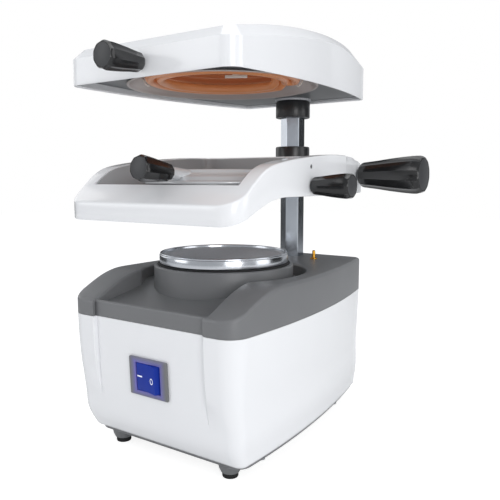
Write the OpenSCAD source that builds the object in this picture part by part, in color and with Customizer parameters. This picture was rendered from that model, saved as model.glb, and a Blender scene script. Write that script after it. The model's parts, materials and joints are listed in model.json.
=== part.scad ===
// Dental vacuum former: a base with a vacuum motor and a round forming chamber,
// a sheet carriage that slides on a hexagonal column, and a heater head that swings
// about the column's top.
// Frame: X to the machine's right, Y to its rear, Z up. The origin lies on the
// counter, below the axis of the forming chamber.

/* [Base] */
// Half width of the base where the shell meets its cover
base_half_w = 86; // [82:0.1:88]
// From the chamber axis forward to the front of the base
base_front = 98.5; // [95:0.5:104]
// From the chamber axis back to the rear of the base
base_rear = 138; // [136:0.5:146]
// Narrowing of each side 150 mm away from its widest point
side_bow = 17.8; // [12:0.1:20]
// Radius of the front corners in plan, at the joint
front_corner_r = 16.5; // [12:0.5:22]
// Radius of the rear corners in plan, at the joint
rear_corner_r = 8; // [6:0.5:14]
// How far the front leans in towards the counter
front_lean = 17; // [10:0.5:19]
// How far each side leans in towards the counter
side_lean = 7.6; // [3:0.1:9]
// Height of the shell's lower edge
shell_z = 14; // [12:0.5:17]
// Height of the joint between shell and cover
seam_z = 113; // [111:0.5:116]
// Thickness of the moulded walls
wall = 2.5; // [2:0.1:3]
// Half width of the recessed front panel
panel_half_w = 55; // [48:0.5:57]
// Depth of the front panel's recess at the joint
panel_recess = 3.2; // [1:0.1:4]
// Height at which the recess has faded away
panel_fade_z = 48; // [40:1:52]

/* [Top cover] */
// Height of the front lip
lip_z = 125.5; // [124:0.5:128]
// Height of the flat rear deck and of the rails' rear part
deck_z = 143.5; // [142:0.5:146]
// Length over which the rails rise to the deck
rail_run = 60; // [50:1:66]
// Radius of the cover's outer upper edge
cover_edge_r = 5; // [2:0.5:7]
// Radius of the trough round the chamber
trough_r = 70.5; // [69:0.5:73]
// Half width of the trough's channel to the front
channel_half_w = 54.5; // [50:0.5:58]
// Height of the trough's floor beside the chamber
trough_floor_z = 133; // [130:0.5:135]
// Height of the dip behind the front lip
trough_dip_z = 122.5; // [121:0.5:124]

/* [Chamber] */
// Outer radius of the chamber bowl
chamber_r = 59.5; // [57:0.5:61]
// Height of the chamber's upper face
chamber_z = 148.7; // [146:0.1:150]
// Thickness of the seal below the rim ring
chamber_seal_t = 1; // [0.6:0.1:2]
// Outer radius of the chrome rim ring
rim_r = 55; // [52:0.5:55.5]
// Height of the chrome rim ring
rim_h = 9; // [7:0.5:9.5]
// Radius of the holes in the perforated plate
plate_hole_r = 1.5; // [1:0.1:2]
// Distance between the holes of the perforated plate
plate_pitch = 7.4; // [6.5:0.1:10]

/* [Column] */
// From the chamber axis back to the column axis
column_y = 115; // [113:0.5:116]
// Width of the hexagonal column across its flats
column_af = 20.5; // [18:0.1:21]
// Radius of the two black collars
collar_r = 16.75; // [15:0.25:17.5]
// Radius of the turned pivot at the top of the column
pivot_r = 8; // [6:0.1:8.5]

/* [Carriage] */
// Height of the carriage above the rails, as photographed
carriage_gap = 63.5; // [55:0.5:66]
// Half width of the sheet opening
opening_half_w = 70.4; // [69:0.1:71.5]
// From the chamber axis forward to the opening's front edge
opening_front = 77; // [75:0.5:80]
// From the chamber axis back to the opening's rear edge
opening_rear = 68; // [67:0.5:70]
// Position of the joint with the rear cover, behind the chamber axis
rear_seam_y = 74; // [73:0.5:78]
// Thickness of the dark liner of the opening
liner_t = 1.6; // [1:0.1:2]
// Inner radius of the lower sheet ring, which passes over the chamber
sheet_ring_r = 61.5; // [60.5:0.1:62]

/* [Handles] */
// Length of the three small knobs
knob_len = 33; // [28:1:36]
// Radius of a small knob at its big end
knob_r = 9.8; // [8:0.1:10.5]
// Radius of a small knob at its narrow end
knob_neck_r = 6.8; // [5:0.1:7.5]
// Length of the big lock handle
handle_len = 60; // [50:1:70]
// Radius of the lock handle at its big end
handle_r = 17.2; // [14:0.1:18]
// Radius of the lock handle at its narrow end
handle_neck_r = 11.5; // [9:0.1:13]
// Number of flats round a knob
knob_flats = 10; // [8:1:14]

/* [Head] */
// Height of the head's lower front edge
head_z = 291.8; // [290:0.1:296]
// Rise of the head's lower edge from front to rear
head_rake = 2.9; // [0:0.1:4]
// Half width of the head at its widest point
head_half_w = 85; // [83:0.1:87]
// Narrowing of each side of the head 150 mm away from its widest point
head_bow = 20; // [16:0.1:23]
// From the chamber axis forward to the head's front
head_front = 95.4; // [93:0.2:100]
// From the chamber axis back to the head's rear
head_rear = 134.3; // [134:0.1:140]
// Width of the bevel round the head's top
bevel_w = 11; // [6:0.5:13]
// Height of the bevel round the head's top
bevel_h = 7.6; // [4:0.2:9]
// Half width of the square reflector pan
reflector_half_w = 64; // [60:0.5:65]
// Radius of the heater tube's outer turn
heater_turn_r = 55; // [50:0.5:56]
// Radius of the heater tube
heater_tube_r = 3.2; // [2.5:0.1:4]

/* [Switch] */
// Height of the switch's centre on the front panel
switch_z = 72; // [66:0.5:78]
// Width of the switch bezel
bezel_w = 38; // [35:0.5:42]
// Height of the switch bezel
bezel_h = 30; // [27:0.5:32]
// Width of the rocker
rocker_w = 25.2; // [22:0.2:27]
// Height of the rocker
rocker_h = 21.4; // [19:0.2:22]
// Half of the rocker's full swing
rocker_tilt = 10; // [6:0.5:12]

/* [Vacuum pin] */
// Position of the vacuum pin beside the column
pin_x = 34; // [32:0.5:36]
// Position of the vacuum pin behind the chamber axis
pin_y = 99; // [97:0.5:101]
// Height of the pin above the deck
pin_out = 8.5; // [6:0.5:9]
// Radius of the pin
pin_r = 1.5; // [1.2:0.1:1.8]
// Travel of the pin
pin_travel = 3; // [2:0.5:4]

/* [Motor] */
// Radius of the motor's field housing
motor_r = 43; // [38:0.5:46]
// Radius of the turbine casing
turbine_r = 52; // [48:0.5:54]
// Radius of the motor shaft
shaft_r = 4; // [3:0.1:5]

/* [Hidden] */
$fn = 72;

// Clearances
run = 0.06;
seat = 0.02;
fit = 0.3;
eps = 0.01;

// Plan of base and carriage
widest_y = -25;
head_widest_y = -10;
bow_len = 150;
lean_h = seam_z - shell_z;
bottom_bow = -3.8;
bottom_front_r = 8;
bottom_rear_r = 8;
rear_lean = 2;
front_curve = 2.4;
body_levels = 6;

// Front panel: its plane runs from the fading height up to the joint
fade_y = -base_front + front_lean * pow((seam_z - panel_fade_z) / lean_h, front_curve);
panel_top_y = -base_front + panel_recess;
panel_lean = atan((fade_y - panel_top_y) / (seam_z - panel_fade_z));

// Base plate and feet
plate_t = 2.5;
plate_z = shell_z - plate_t;
plate_inset = 1.2;
foot_r = 8;
pad_r = 6.5;
pad_h = 4;
pad_sunk = 1.5;
foot_front_y = -68;
foot_rear_y = 96;
foot_x = 56;
foot_rear_x = 40;
screw_boss_r = 4.5;
screw_r = 1.5;
boss_h = 22;

// Cover
lip_depth = 3.5;
lip_edge = 1.2;
dip_y = -base_front + 10.5;
ramp_end_y = -32;
skirt_gap = 1.2;
skirt_t = 1.6;
skirt_h = 4;

// Chamber
chamber_wall = 2.5;
bowl_floor_z = seam_z - 6;
bowl_floor_t = 3;
intake_r = 15;
rim_z = chamber_z + chamber_seal_t;
rim_top = rim_z + rim_h;
rim_wall = 2;
plate_r = rim_r - rim_wall - fit;
plate_thick = 1.5;
plate_drop = 2.2;
plate_top = rim_top - plate_drop;
ledge_w = 5;

// Motor stack
mount_t = 5;
mount_z = shell_z;
housing_z = mount_z + mount_t;
gasket_t = 2;
turbine_top = bowl_floor_z - gasket_t;
turbine_h = 30;
turbine_z = turbine_top - turbine_h;
housing_h = turbine_z - housing_z;
sheet_t = 1.5;
bearing_r = 11;
bearing_h = 7;
low_bearing_z = housing_z + sheet_t;
high_bearing_z = turbine_z + sheet_t;
fan_r = turbine_r - sheet_t - 3;
fan_z = high_bearing_z + bearing_h + 2;
fan_h = 13;
core_r = motor_r - sheet_t - run;
core_bore_r = 22;
core_z = housing_z + 17;
core_h = 26;
armature_r = core_bore_r - 1;

// Column
column_r = column_af / sqrt(3);
socket_r = 18;
socket_h = 32;
column_z = shell_z + 4;
collar_edge = 1.2;
upper_collar_z = head_z - 12;
upper_collar_h = 16;
column_top = upper_collar_z + upper_collar_h;
hub_flat_y = 16.3;
hub_h = 20;
hub_r = 17.5;
hub_z = column_top + 0.3;
pivot_top = hub_z + hub_h + 0.4;

// Carriage
carriage_travel = carriage_gap - 1;
carriage_deck = deck_z + carriage_gap;
front_edge_h = 13.5;
arm_edge_r = 2.5;
plate_low = carriage_deck + 1;
ring_plate_t = 5.5;
ring_lip_t = 1.5;
ring_lip_w = 4.5;
seal_t = 0.9;
sheet_z = plate_low + ring_plate_t + ring_lip_t + seal_t;
bush_low = carriage_deck + 2;
bush_top = carriage_deck + 44.8;
block_low = carriage_deck + 7.8 + pin_out - 8.5;
block_h = 18;
block_half_w = 40;
block_front_y = 80;

// Clamp ring
clamp_z = sheet_z + 0.4;
clamp_flange_r = sheet_ring_r + ring_lip_w;
clamp_flange_t = 2.3;
dome_h = 11.6;
dome_top_r = 44;
hinge_y = opening_rear - 3;
hinge_z = clamp_z + 7.6;
hinge_r = 1.5;
knuckle_r = 2.6;
ear_in = 14;
ear_out = 20;
lug_in = 20.4;
lug_out = 25.4;
rod_r = 4.6;
rod_tilt = 5.5;
rod_start_y = -dome_top_r + 1;
rod_start_z = clamp_z + 6.4;
clamp_knob_y = -68;

// Lock handle and side knob
lock_z = carriage_deck + 17;
lock_stud_r = 4;
lock_neck_r = 5;
handle_x = seam_side(column_y) + 3.5;
lock_bore = handle_len / 2;
knob_bore = knob_len / 2;
side_z = carriage_deck + 8;
side_knob_x = seam_side(-knob_neck_r) + 0.3;
side_stud_r = 3.5;
side_tip_r = 1.8;

// Head
head_len = head_rear + head_front;
head_front_r = 12;
head_rear_r = 6;
head_wall = 2.5;
pan_r = 30;
pan_t = 1.2;
pan_z = head_z + 4.6;
pan_h = 22;
liner_z = pan_z + pan_t + 0.1;
heater_z = head_z + 7.5;
turn_gap = 11;
head_knob_z = head_z + 9.6;
nut_r = 6.5;
heater_start_a = 105;
end_out_a = heater_start_a - 4;
end_in_a = heater_start_a - 6;

// Switch
bezel_t = 2.4;
body_wall = 1.2;
body_depth = 22;
rocker_pivot = 4;
rocker_end_r = rocker_w / 2 + 0.2;
window_w = rocker_w + 1.2;
window_h = rocker_h + 0.8;
body_w = window_w + 2 * body_wall;
body_h = window_h + 2 * body_wall;
trunnion_r = 1.6;

// Vacuum pin
pin_top = deck_z + pin_out;
bush_r = 3;
bush_len = 8;
pin_flange_r = 3.4;
pin_low = deck_z - 19;
pin_collar_h = 1.5;
pin_collar_z = deck_z - bush_len - pin_collar_h - fit;
spring_wire = 0.4;
spring_r = 2.4;
shelf_top = deck_z - 15.5;
shelf_t = 1.5;

// Mains inlet
inlet_x = -34;
inlet_z = 42;
inlet_w = 27;
inlet_h = 20;
inlet_screw_x = 20;
inlet_screw_r = 1.6;
fuse_x = 28;
fuse_r = 6;
slot_count = 5;
slot_z = 64;
slot_pitch = 8;
slot_w = 60;
slot_h = 3;

// Colours as photographed
WHITE = [0.93, 0.93, 0.94];
GREY = [0.45, 0.46, 0.48];
DARK = [0.25, 0.26, 0.28];
BLACK = [0.08, 0.08, 0.09];
CHROME = [0.85, 0.86, 0.88];
STEEL = [0.62, 0.63, 0.65];
LIGHT = [0.75, 0.76, 0.77];
BRASS = [0.78, 0.6, 0.25];
BLUE = [0.14, 0.24, 0.62];
ORANGE = [0.8, 0.45, 0.22];
COPPER = [0.7, 0.38, 0.2];

// Half width of a barrel-shaped side at a position along the machine
function barrel(hw, bow, y) = hw - bow * pow((y - widest_y) / bow_len, 2);
function seam_side(y) = barrel(base_half_w, side_bow, y);
function foot_side(y) = barrel(base_half_w - side_lean, side_bow + bottom_bow, y);
function head_side(y) = head_half_w - head_bow * pow((y - head_widest_y) / bow_len, 2);

// Half width of a plan with rounded front and rear corners
function corner_in(r, d) = r - sqrt(max(0, r * r - pow(r - min(d, r), 2)));
function half_at(y, side, front, rear, rf, rr) =
    side(min(max(y, front + rf), rear - rr))
    - corner_in(rf, y - front) - corner_in(rr, rear - y);

// Stations along a plan: close together round the corners and along the sweep
function stations(front, rear, rf, rr, sweep, n_side) = concat(
    [for (i = [0:6]) front + rf * (1 - cos(15 * i))],
    [for (i = [1:n_side]) front + rf + (sweep - rf) * i / n_side],
    [for (i = [1:n_side]) front + sweep + (rear - rr - front - sweep) * i / n_side],
    [for (i = [1:6]) rear - rr + rr * sin(15 * i)]
);

// Smooth curve through points [distance, height]
function slope(p, i) =
    i == 0 ? (p[1][1] - p[0][1]) / (p[1][0] - p[0][0])
    : i == len(p) - 1 ? (p[i][1] - p[i - 1][1]) / (p[i][0] - p[i - 1][0])
    : (p[i + 1][1] - p[i - 1][1]) / (p[i + 1][0] - p[i - 1][0]);
function smooth_at(p, x) =
    let (i = max([for (k = [0:len(p) - 2]) x >= p[k][0] ? k : 0]),
         h = p[i + 1][0] - p[i][0],
         t = min(max((x - p[i][0]) / h, 0), 1))
    p[i][1] * (1 - 3 * t * t + 2 * t * t * t)
    + p[i + 1][1] * (3 * t * t - 2 * t * t * t)
    + slope(p, i) * h * (t - 2 * t * t + t * t * t)
    + slope(p, i + 1) * h * (t * t * t - t * t);

// Height of the rails: an S from the lip up to the deck
function rail_z(y) =
    let (t = min(max((y + base_front) / rail_run, 0), 1))
    lip_z + (deck_z - lip_z) * (1 - cos(180 * pow(t, 0.72))) / 2;
function edge_drop(r, d) = corner_in(r, d);

// The carriage: its lower edge lies parallel to the rails
arm_profile = [
    [0, 13.5], [13, 21], [23, 29.5], [36, 38], [51, 42.5], [87, 47.3],
    [142, 51.3], [190, 51.2], [236.5, 48.5]
];
carriage_rise = lip_z + carriage_gap;
function carriage_low(y) = rail_z(y) + carriage_gap;
function carriage_high(y) = carriage_rise + smooth_at(arm_profile, y + base_front);

// The head: a crowned top over a level lower edge
head_profile = [
    [0, 24], [7, 29.5], [41, 36.3], [66, 41.2], [102, 45.6], [130, 46.7],
    [171, 46.5], [212, 43], [229.7, 37]
];
function head_low(y) = head_z + head_rake * (y + head_front) / head_len;
function head_high(y) = head_z + smooth_at(head_profile, y + head_front);
function bevel_at(y) =
    let (s = min(1, 0.05 + min(y + head_front, head_rear - y) / 9))
    [[bevel_w * s, 0], [0, bevel_h * s]];

// Corner of a cross-section as [inward, down] steps from its top to its side
function round_edge(r, n = 4) =
    [for (i = [0:n]) [r * (1 - sin(90 * i / n)), r * (1 - cos(90 * i / n))]];

// Closed cross-section across the machine at one station
function section(y, w, low, high, top, bottom) =
    let (n = len(bottom) - 1,
         right = concat([for (p = top) [w - p[0], y, high - p[1]]],
                        [for (i = [n:-1:0]) [w - bottom[i][0], y, low + bottom[i][1]]]),
         m = len(right) - 1)
    concat(right, [for (i = [m:-1:0]) [-right[i][0], y, right[i][2]]]);

// Closed plan outline at one height
function plan_ring(z, side, front, rear, rf, rr) =
    let (ys = stations(front, rear, rf, rr, rf + 20, 4),
         right = [for (y = ys) [half_at(y, side, front, rear, rf, rr), y, z]],
         m = len(right) - 1)
    concat(right, [for (i = [m:-1:0]) [-right[i][0], right[i][1], z]]);

// Solid skinned over closed rings with as many points each
module skin(rings) {
    n = len(rings[0]);
    last = len(rings) - 1;
    polyhedron(
        points = [for (ring = rings) for (p = ring) p],
        faces = concat(
            [[for (i = [0:n - 1]) i]],
            [for (k = [0:last - 1]) for (i = [0:n - 1]) let (j = (i + 1) % n)
                each [[k * n + i, (k + 1) * n + i, (k + 1) * n + j],
                      [k * n + i, (k + 1) * n + j, k * n + j]]],
            [[for (i = [n - 1:-1:0]) last * n + i]]
        ),
        convexity = 8
    );
}

// Tapered body of the base, drawn in by a distance
module base_body(inset, low, high) {
    function u(z) = (seam_z - z) / lean_h;
    function front(z) = -base_front + front_lean * pow(max(u(z), 0), front_curve) + inset;
    function rear(z) = base_rear - rear_lean * u(z) - inset;
    skin([
        for (i = [0:body_levels]) let (z = low + (high - low) * i / body_levels)
            plan_ring(
                z,
                function(y) barrel(base_half_w - side_lean * u(z),
                                   side_bow + bottom_bow * u(z), y) - inset,
                front(z), rear(z),
                front_corner_r + (bottom_front_r - front_corner_r) * u(z) - inset,
                rear_corner_r + (bottom_rear_r - rear_corner_r) * u(z) - inset
            )
    ]);
}

// Slab with the plan of the base at its joint, drawn in by a distance
module plan_slab(inset, low, high, top, bottom) {
    front = -base_front + inset;
    rear = base_rear - inset;
    rf = front_corner_r - inset;
    rr = rear_corner_r - inset;
    skin([
        for (y = stations(front, rear, rf, rr, rail_run + 4, 7))
            section(y, half_at(y, function(y) seam_side(y) - inset, front, rear, rf, rr),
                    low(y), high(y), top, bottom)
    ]);
}

// Slab with the plan of the head, drawn in by a distance
module head_slab(inset, low, high, top) {
    front = -head_front + inset;
    rear = head_rear - inset;
    rf = head_front_r - inset;
    rr = head_rear_r - inset;
    skin([
        for (y = stations(front, rear, rf, rr, 48, 7))
            section(y, half_at(y, function(y) head_side(y) - inset, front, rear, rf, rr),
                    low(y), high(y), top(y), [[0, 0]])
    ]);
}

module tube(r_out, r_in, h) {
    difference() {
        cylinder(r = r_out, h = h);
        translate([0, 0, -1]) cylinder(r = r_in, h = h + 2);
    }
}

module mirrored() {
    children();
    mirror([1, 0, 0]) children();
}

// Rectangle with rounded corners from exact arcs
module round_rect(x0, x1, y0, y1, r) {
    translate([x0 + r, y0]) square([x1 - x0 - 2 * r, y1 - y0]);
    translate([x0, y0 + r]) square([x1 - x0, y1 - y0 - 2 * r]);
    for (x = [x0 + r, x1 - r], y = [y0 + r, y1 - r]) translate([x, y]) circle(r);
}

module hexagon(af) {
    rotate(90) circle(r = af / sqrt(3), $fn = 6);
}

// Prism along X from a profile in Y and Z
module across(w) {
    translate([-w / 2, 0, 0]) rotate([90, 0, 90]) linear_extrude(w) children();
}

// Local frame on the leaning front panel: X across, Y up the panel, Z outwards
module on_panel() {
    y = fade_y + (panel_top_y - fade_y) * (switch_z - panel_fade_z) / (seam_z - panel_fade_z);
    translate([0, y, switch_z]) rotate([90 + panel_lean, 0, 0]) children();
}

// Half space in front of the panel's plane, moved back by a distance
module before_panel(half_w, back) {
    translate([0, fade_y, panel_fade_z]) rotate([panel_lean, 0, 0])
        translate([-half_w, -40 + back, 0]) cube([2 * half_w, 40, 200]);
}

// Faceted, tapered knob along +Z from its narrow end, with a bore for its stud
module knob(len, r_big, r_small, bore_r, bore_len) {
    tip = 0.06 * len;
    difference() {
        hull() {
            cylinder(r = 0.82 * r_small, h = eps, $fn = knob_flats);
            translate([0, 0, tip]) cylinder(r = r_small, h = eps, $fn = knob_flats);
            translate([0, 0, 0.86 * len]) cylinder(r = r_big, h = eps, $fn = knob_flats);
            translate([0, 0, 0.96 * len]) cylinder(r = 0.93 * r_big, h = eps, $fn = knob_flats);
            translate([0, 0, len - eps]) cylinder(r = 0.82 * r_big, h = eps, $fn = 32);
        }
        translate([0, 0, -1]) cylinder(r = bore_r, h = bore_len + 1, $fn = 32);
    }
}

// Base

module base_shell() {
    color(WHITE) {
        difference() {
            base_body(0, shell_z, seam_z);
            before_panel(panel_half_w, 0);
            difference() {
                base_body(wall, shell_z - 1, seam_z + 1);
                before_panel(panel_half_w + wall, wall);
            }
            on_panel() translate([-body_w / 2 - fit, -body_h / 2 - fit, -20])
                cube([body_w + 2 * fit, body_h + 2 * fit, 40]);
            inlet_opening(fit);
            for (x = [-inlet_screw_x, inlet_screw_x])
                translate([inlet_x + x, base_rear - 12, inlet_z]) rotate([-90, 0, 0])
                    cylinder(r = inlet_screw_r + seat, h = 24);
            translate([fuse_x, base_rear - 12, inlet_z]) rotate([-90, 0, 0])
                cylinder(r = fuse_r + fit, h = 24);
            exhaust_slots();
        }
        screw_places() translate([0, 0, shell_z]) difference() {
            cylinder(r = screw_boss_r, h = boss_h);
            translate([0, 0, -1]) cylinder(r = screw_r + seat, h = boss_h - 2);
        }
    }
}

// The bottom plate's screws stand in bosses that run into the shell's sides
module screw_places() {
    for (side = [-1, 1], y = [foot_front_y + 16, foot_rear_y - 16])
        translate([side * (foot_side(y) - screw_boss_r - 0.4), y, 0]) children();
}

module exhaust_slots() {
    for (i = [0:slot_count - 1])
        translate([-slot_w / 2, base_rear - 8, slot_z + slot_pitch * i])
            cube([slot_w, 16, slot_h]);
}

module inlet_opening(gap) {
    translate([inlet_x - inlet_w / 2 - gap, base_rear - 14, inlet_z - inlet_h / 2 - gap])
        cube([inlet_w + 2 * gap, 30, inlet_h + 2 * gap]);
}

// Trough: a round well and a channel to the front, above a sloping floor
module trough(gap, drop) {
    intersection() {
        translate([0, 0, seam_z]) linear_extrude(80) {
            circle(r = trough_r + gap, $fn = 96);
            translate([-channel_half_w - gap, -base_front - 20])
                square([2 * (channel_half_w + gap), base_front + 20]);
        }
        across(4 * trough_r) polygon([
            [-base_front - 20, lip_z - drop - lip_edge],
            [panel_top_y + drop, lip_z - drop - lip_edge],
            [panel_top_y + drop + lip_edge, lip_z - drop],
            [dip_y - lip_depth, lip_z - drop],
            [dip_y, trough_dip_z - drop],
            [ramp_end_y, trough_floor_z - drop],
            [trough_r + 20, trough_floor_z - drop],
            [trough_r + 20, deck_z + 20],
            [-base_front - 20, deck_z + 20]
        ]);
    }
}

// The recess of the front panel runs on upright through the cover
module cover_recess(half_w, back) {
    translate([-half_w, -base_front - 20, seam_z - 20])
        cube([2 * half_w, 20 + panel_recess + back, 80]);
}

module top_cover() {
    color(GREY) {
        difference() {
            plan_slab(0, function(y) seam_z,
                      function(y) rail_z(y) - edge_drop(2, y + base_front)
                          - edge_drop(cover_edge_r, base_rear - y),
                      round_edge(cover_edge_r), [[0, 0]]);
            trough(0, 0);
            cover_recess(panel_half_w, 0);
            difference() {
                plan_slab(wall, function(y) seam_z - 1,
                          function(y) rail_z(y) - wall - edge_drop(cover_edge_r, base_rear - y),
                          round_edge(cover_edge_r), [[0, 0]]);
                trough(wall, wall);
                cover_recess(panel_half_w + wall, wall);
            }
            translate([0, 0, seam_z]) cylinder(r = chamber_r + fit, h = 60, $fn = 96);
            translate([0, column_y, seam_z]) linear_extrude(60)
                hexagon(column_af + 2 * fit);
            translate([pin_x, pin_y, seam_z]) cylinder(r = bush_r + run, h = 60);
        }
        difference() {
            plan_slab(wall + skirt_gap, function(y) seam_z - skirt_h,
                      function(y) seam_z + 1, [[0, 0]], [[0, 0]]);
            plan_slab(wall + skirt_gap + skirt_t, function(y) seam_z - skirt_h - 1,
                      function(y) seam_z + 2, [[0, 0]], [[0, 0]]);
            translate([-panel_half_w - 6, -base_front - 1, seam_z - 10])
                cube([2 * panel_half_w + 12, 20, 20]);
        }
        difference() {
            plan_slab(wall, function(y) seam_z, function(y) seam_z + 1.5, [[0, 0]], [[0, 0]]);
            plan_slab(wall + skirt_gap + skirt_t, function(y) seam_z - 1,
                      function(y) seam_z + 3, [[0, 0]], [[0, 0]]);
            translate([-panel_half_w - 6, -base_front - 1, seam_z - 10])
                cube([2 * panel_half_w + 12, 20, 20]);
        }
    }
}

module bottom_plate() {
    color(GREY) difference() {
        base_body_slice(plate_inset, plate_z, shell_z);
        screw_places() translate([0, 0, plate_z - 1]) {
            cylinder(r = screw_r + 0.2, h = 5);
            cylinder(r = 3.2, h = 2.5);
        }
        translate([0, column_y, plate_z - 1]) cylinder(r = 4.3, h = 5);
        for (i = [-2:2])
            translate([-24, 8 * i - 1.5, plate_z - 1]) cube([48, 3, 5]);
        foot_places() translate([0, 0, plate_z - 1]) cylinder(r = 3, h = 5);
    }
}

// Flat slice with the plan of the shell's lower edge
module base_body_slice(inset, low, high) {
    front = -base_front + front_lean + inset;
    rear = base_rear - rear_lean - inset;
    side = function(y) foot_side(y) - inset;
    skin([
        for (z = [low, high])
            plan_ring(z, side, front, rear, bottom_front_r - inset, bottom_rear_r - inset)
    ]);
}

module foot_places() {
    mirrored() {
        translate([foot_x, foot_front_y, 0]) children();
        translate([foot_rear_x, foot_rear_y, 0]) children();
    }
}

module feet() {
    color(GREY) foot_places() {
        difference() {
            translate([0, 0, pad_h]) cylinder(r1 = foot_r - 1, r2 = foot_r, h = plate_z - pad_h);
            translate([0, 0, pad_h - 1]) cylinder(r = pad_r + seat, h = pad_sunk + 1);
        }
        translate([0, 0, plate_z]) cylinder(r = 3 - 0.05, h = plate_t);
    }
}

module foot_pads() {
    color(BLACK) foot_places() cylinder(r = pad_r, h = pad_h + pad_sunk);
}

module plate_screws() {
    color(STEEL) screw_places() translate([0, 0, plate_z + 0.2]) {
        cylinder(r = screw_r, h = 14, $fn = 32);
        cylinder(r = 2.9, h = 1.3, $fn = 32);
    }
}

// Chamber

module chamber_bowl() {
    color(GREY) rotate_extrude($fn = 96) polygon([
        [intake_r, bowl_floor_z],
        [chamber_r, bowl_floor_z],
        [chamber_r, chamber_z - 1],
        [chamber_r - 1, chamber_z],
        [rim_r - rim_wall - ledge_w, chamber_z],
        [rim_r - rim_wall - ledge_w, chamber_z - chamber_wall],
        [chamber_r - chamber_wall, chamber_z - chamber_wall - 4],
        [chamber_r - chamber_wall, bowl_floor_z + bowl_floor_t],
        [intake_r, bowl_floor_z + bowl_floor_t]
    ]);
}

module chamber_seal() {
    color(BLACK) translate([0, 0, chamber_z])
        tube(rim_r + 0.6, rim_r - 6, chamber_seal_t, $fn = 96);
}

module rim_ring() {
    color(CHROME) rotate_extrude($fn = 96) polygon([
        [rim_r - rim_wall - ledge_w, rim_z],
        [rim_r, rim_z],
        [rim_r, rim_top - 1.4],
        [rim_r - 0.4, rim_top - 1],
        [rim_r - 0.4, rim_top - 0.4],
        [rim_r - 0.8, rim_top],
        [rim_r - rim_wall + 0.4, rim_top],
        [rim_r - rim_wall, rim_top - 0.6],
        [rim_r - rim_wall, plate_top - plate_thick],
        [rim_r - rim_wall - ledge_w, plate_top - plate_thick]
    ]);
}

module perforated_plate() {
    reach = plate_r - 4;
    rows = floor(reach / (plate_pitch * sin(60)));
    cols = ceil(reach / plate_pitch) + 1;
    color(STEEL) translate([0, 0, plate_top - plate_thick]) linear_extrude(plate_thick)
        difference() {
            circle(r = plate_r, $fn = 96);
            for (row = [-rows:rows], col = [-cols:cols])
                let (x = plate_pitch * (col + (row % 2) / 2), y = plate_pitch * sin(60) * row)
                    if (norm([x, y]) < reach)
                        translate([x, y]) circle(r = plate_hole_r, $fn = 16);
        }
}

module intake_gasket() {
    color(BLACK) translate([0, 0, turbine_top]) tube(intake_r + 14, intake_r, gasket_t);
}

// Motor

module motor_mount() {
    color(BLACK) translate([0, 0, mount_z]) tube(motor_r, motor_r - 12, mount_t);
}

module motor_housing() {
    color(STEEL) translate([0, 0, housing_z]) difference() {
        cylinder(r = motor_r, h = housing_h);
        translate([0, 0, sheet_t]) cylinder(r = motor_r - sheet_t, h = housing_h);
        for (a = [0:45:315]) rotate(a) translate([22, -3, -1]) cube([12, 6, 5]);
        for (a = [22.5:45:360]) rotate(a) translate([motor_r - 4, -6, housing_h - 12])
            cube([8, 12, 5]);
    }
}

module motor_bearings() {
    color(CHROME) for (z = [low_bearing_z, high_bearing_z])
        translate([0, 0, z]) tube(bearing_r, shaft_r + run, bearing_h);
}

module field_core() {
    color(STEEL) translate([0, 0, core_z]) linear_extrude(core_h) difference() {
        circle(r = core_r);
        circle(r = core_bore_r);
        for (a = [0, 180]) rotate(a) translate([core_bore_r - 4, -14]) square([11, 28]);
    }
}

module field_coils() {
    color(COPPER) for (a = [0, 180]) rotate(a)
        translate([core_bore_r + 1.5, -13.5, core_z - 5]) cube([5.2, 27, core_h + 10]);
}

module motor_armature() {
    color(STEEL) {
        translate([0, 0, low_bearing_z + 1])
            cylinder(r = shaft_r, h = fan_z + fan_h - low_bearing_z - 2);
        translate([0, 0, core_z + 1]) linear_extrude(core_h - 2) difference() {
            circle(r = armature_r);
            for (a = [0:30:330]) rotate(a) translate([armature_r - 5, -1]) square([8, 2]);
        }
        translate([0, 0, core_z - 7]) cylinder(r = 10, h = 6);
    }
}

module fan_wheel() {
    color(STEEL) translate([0, 0, fan_z]) {
        tube(fan_r, shaft_r + seat, 1.2);
        tube(9, shaft_r + seat, fan_h);
        translate([0, 0, fan_h - 1.2]) tube(fan_r, intake_r, 1.2);
        for (a = [0:40:320]) rotate(a) linear_extrude(fan_h - 0.5) intersection() {
            translate([fan_r / 2 + 3, 12]) difference() {
                circle(r = 22, $fn = 48);
                circle(r = 21, $fn = 48);
            }
            translate([intake_r + 1, -12]) square([fan_r - intake_r - 4, 22]);
        }
    }
}

module turbine_casing() {
    color(STEEL) translate([0, 0, turbine_z]) difference() {
        cylinder(r = turbine_r, h = turbine_h);
        translate([0, 0, sheet_t]) cylinder(r = turbine_r - sheet_t, h = turbine_h - 2 * sheet_t);
        translate([0, 0, -1]) cylinder(r = shaft_r + 1, h = 10);
        cylinder(r = intake_r, h = turbine_h + 1);
        for (a = [0:30:330]) rotate(a) translate([turbine_r - 4, -4, 4]) cube([8, 8, 5]);
    }
    color(STEEL) translate([0, 0, turbine_z]) difference() {
        cylinder(r = intake_r + 1, h = sheet_t);
        translate([0, 0, -1]) cylinder(r = shaft_r + 1, h = 5);
    }
}

// Switch

module switch_bezel() {
    color(GREY) on_panel() difference() {
        linear_extrude(bezel_t) round_rect(-bezel_w / 2, bezel_w / 2, -bezel_h / 2, bezel_h / 2, 2);
        translate([-window_w / 2, -window_h / 2, -1]) cube([window_w, window_h, 5]);
    }
}

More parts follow.
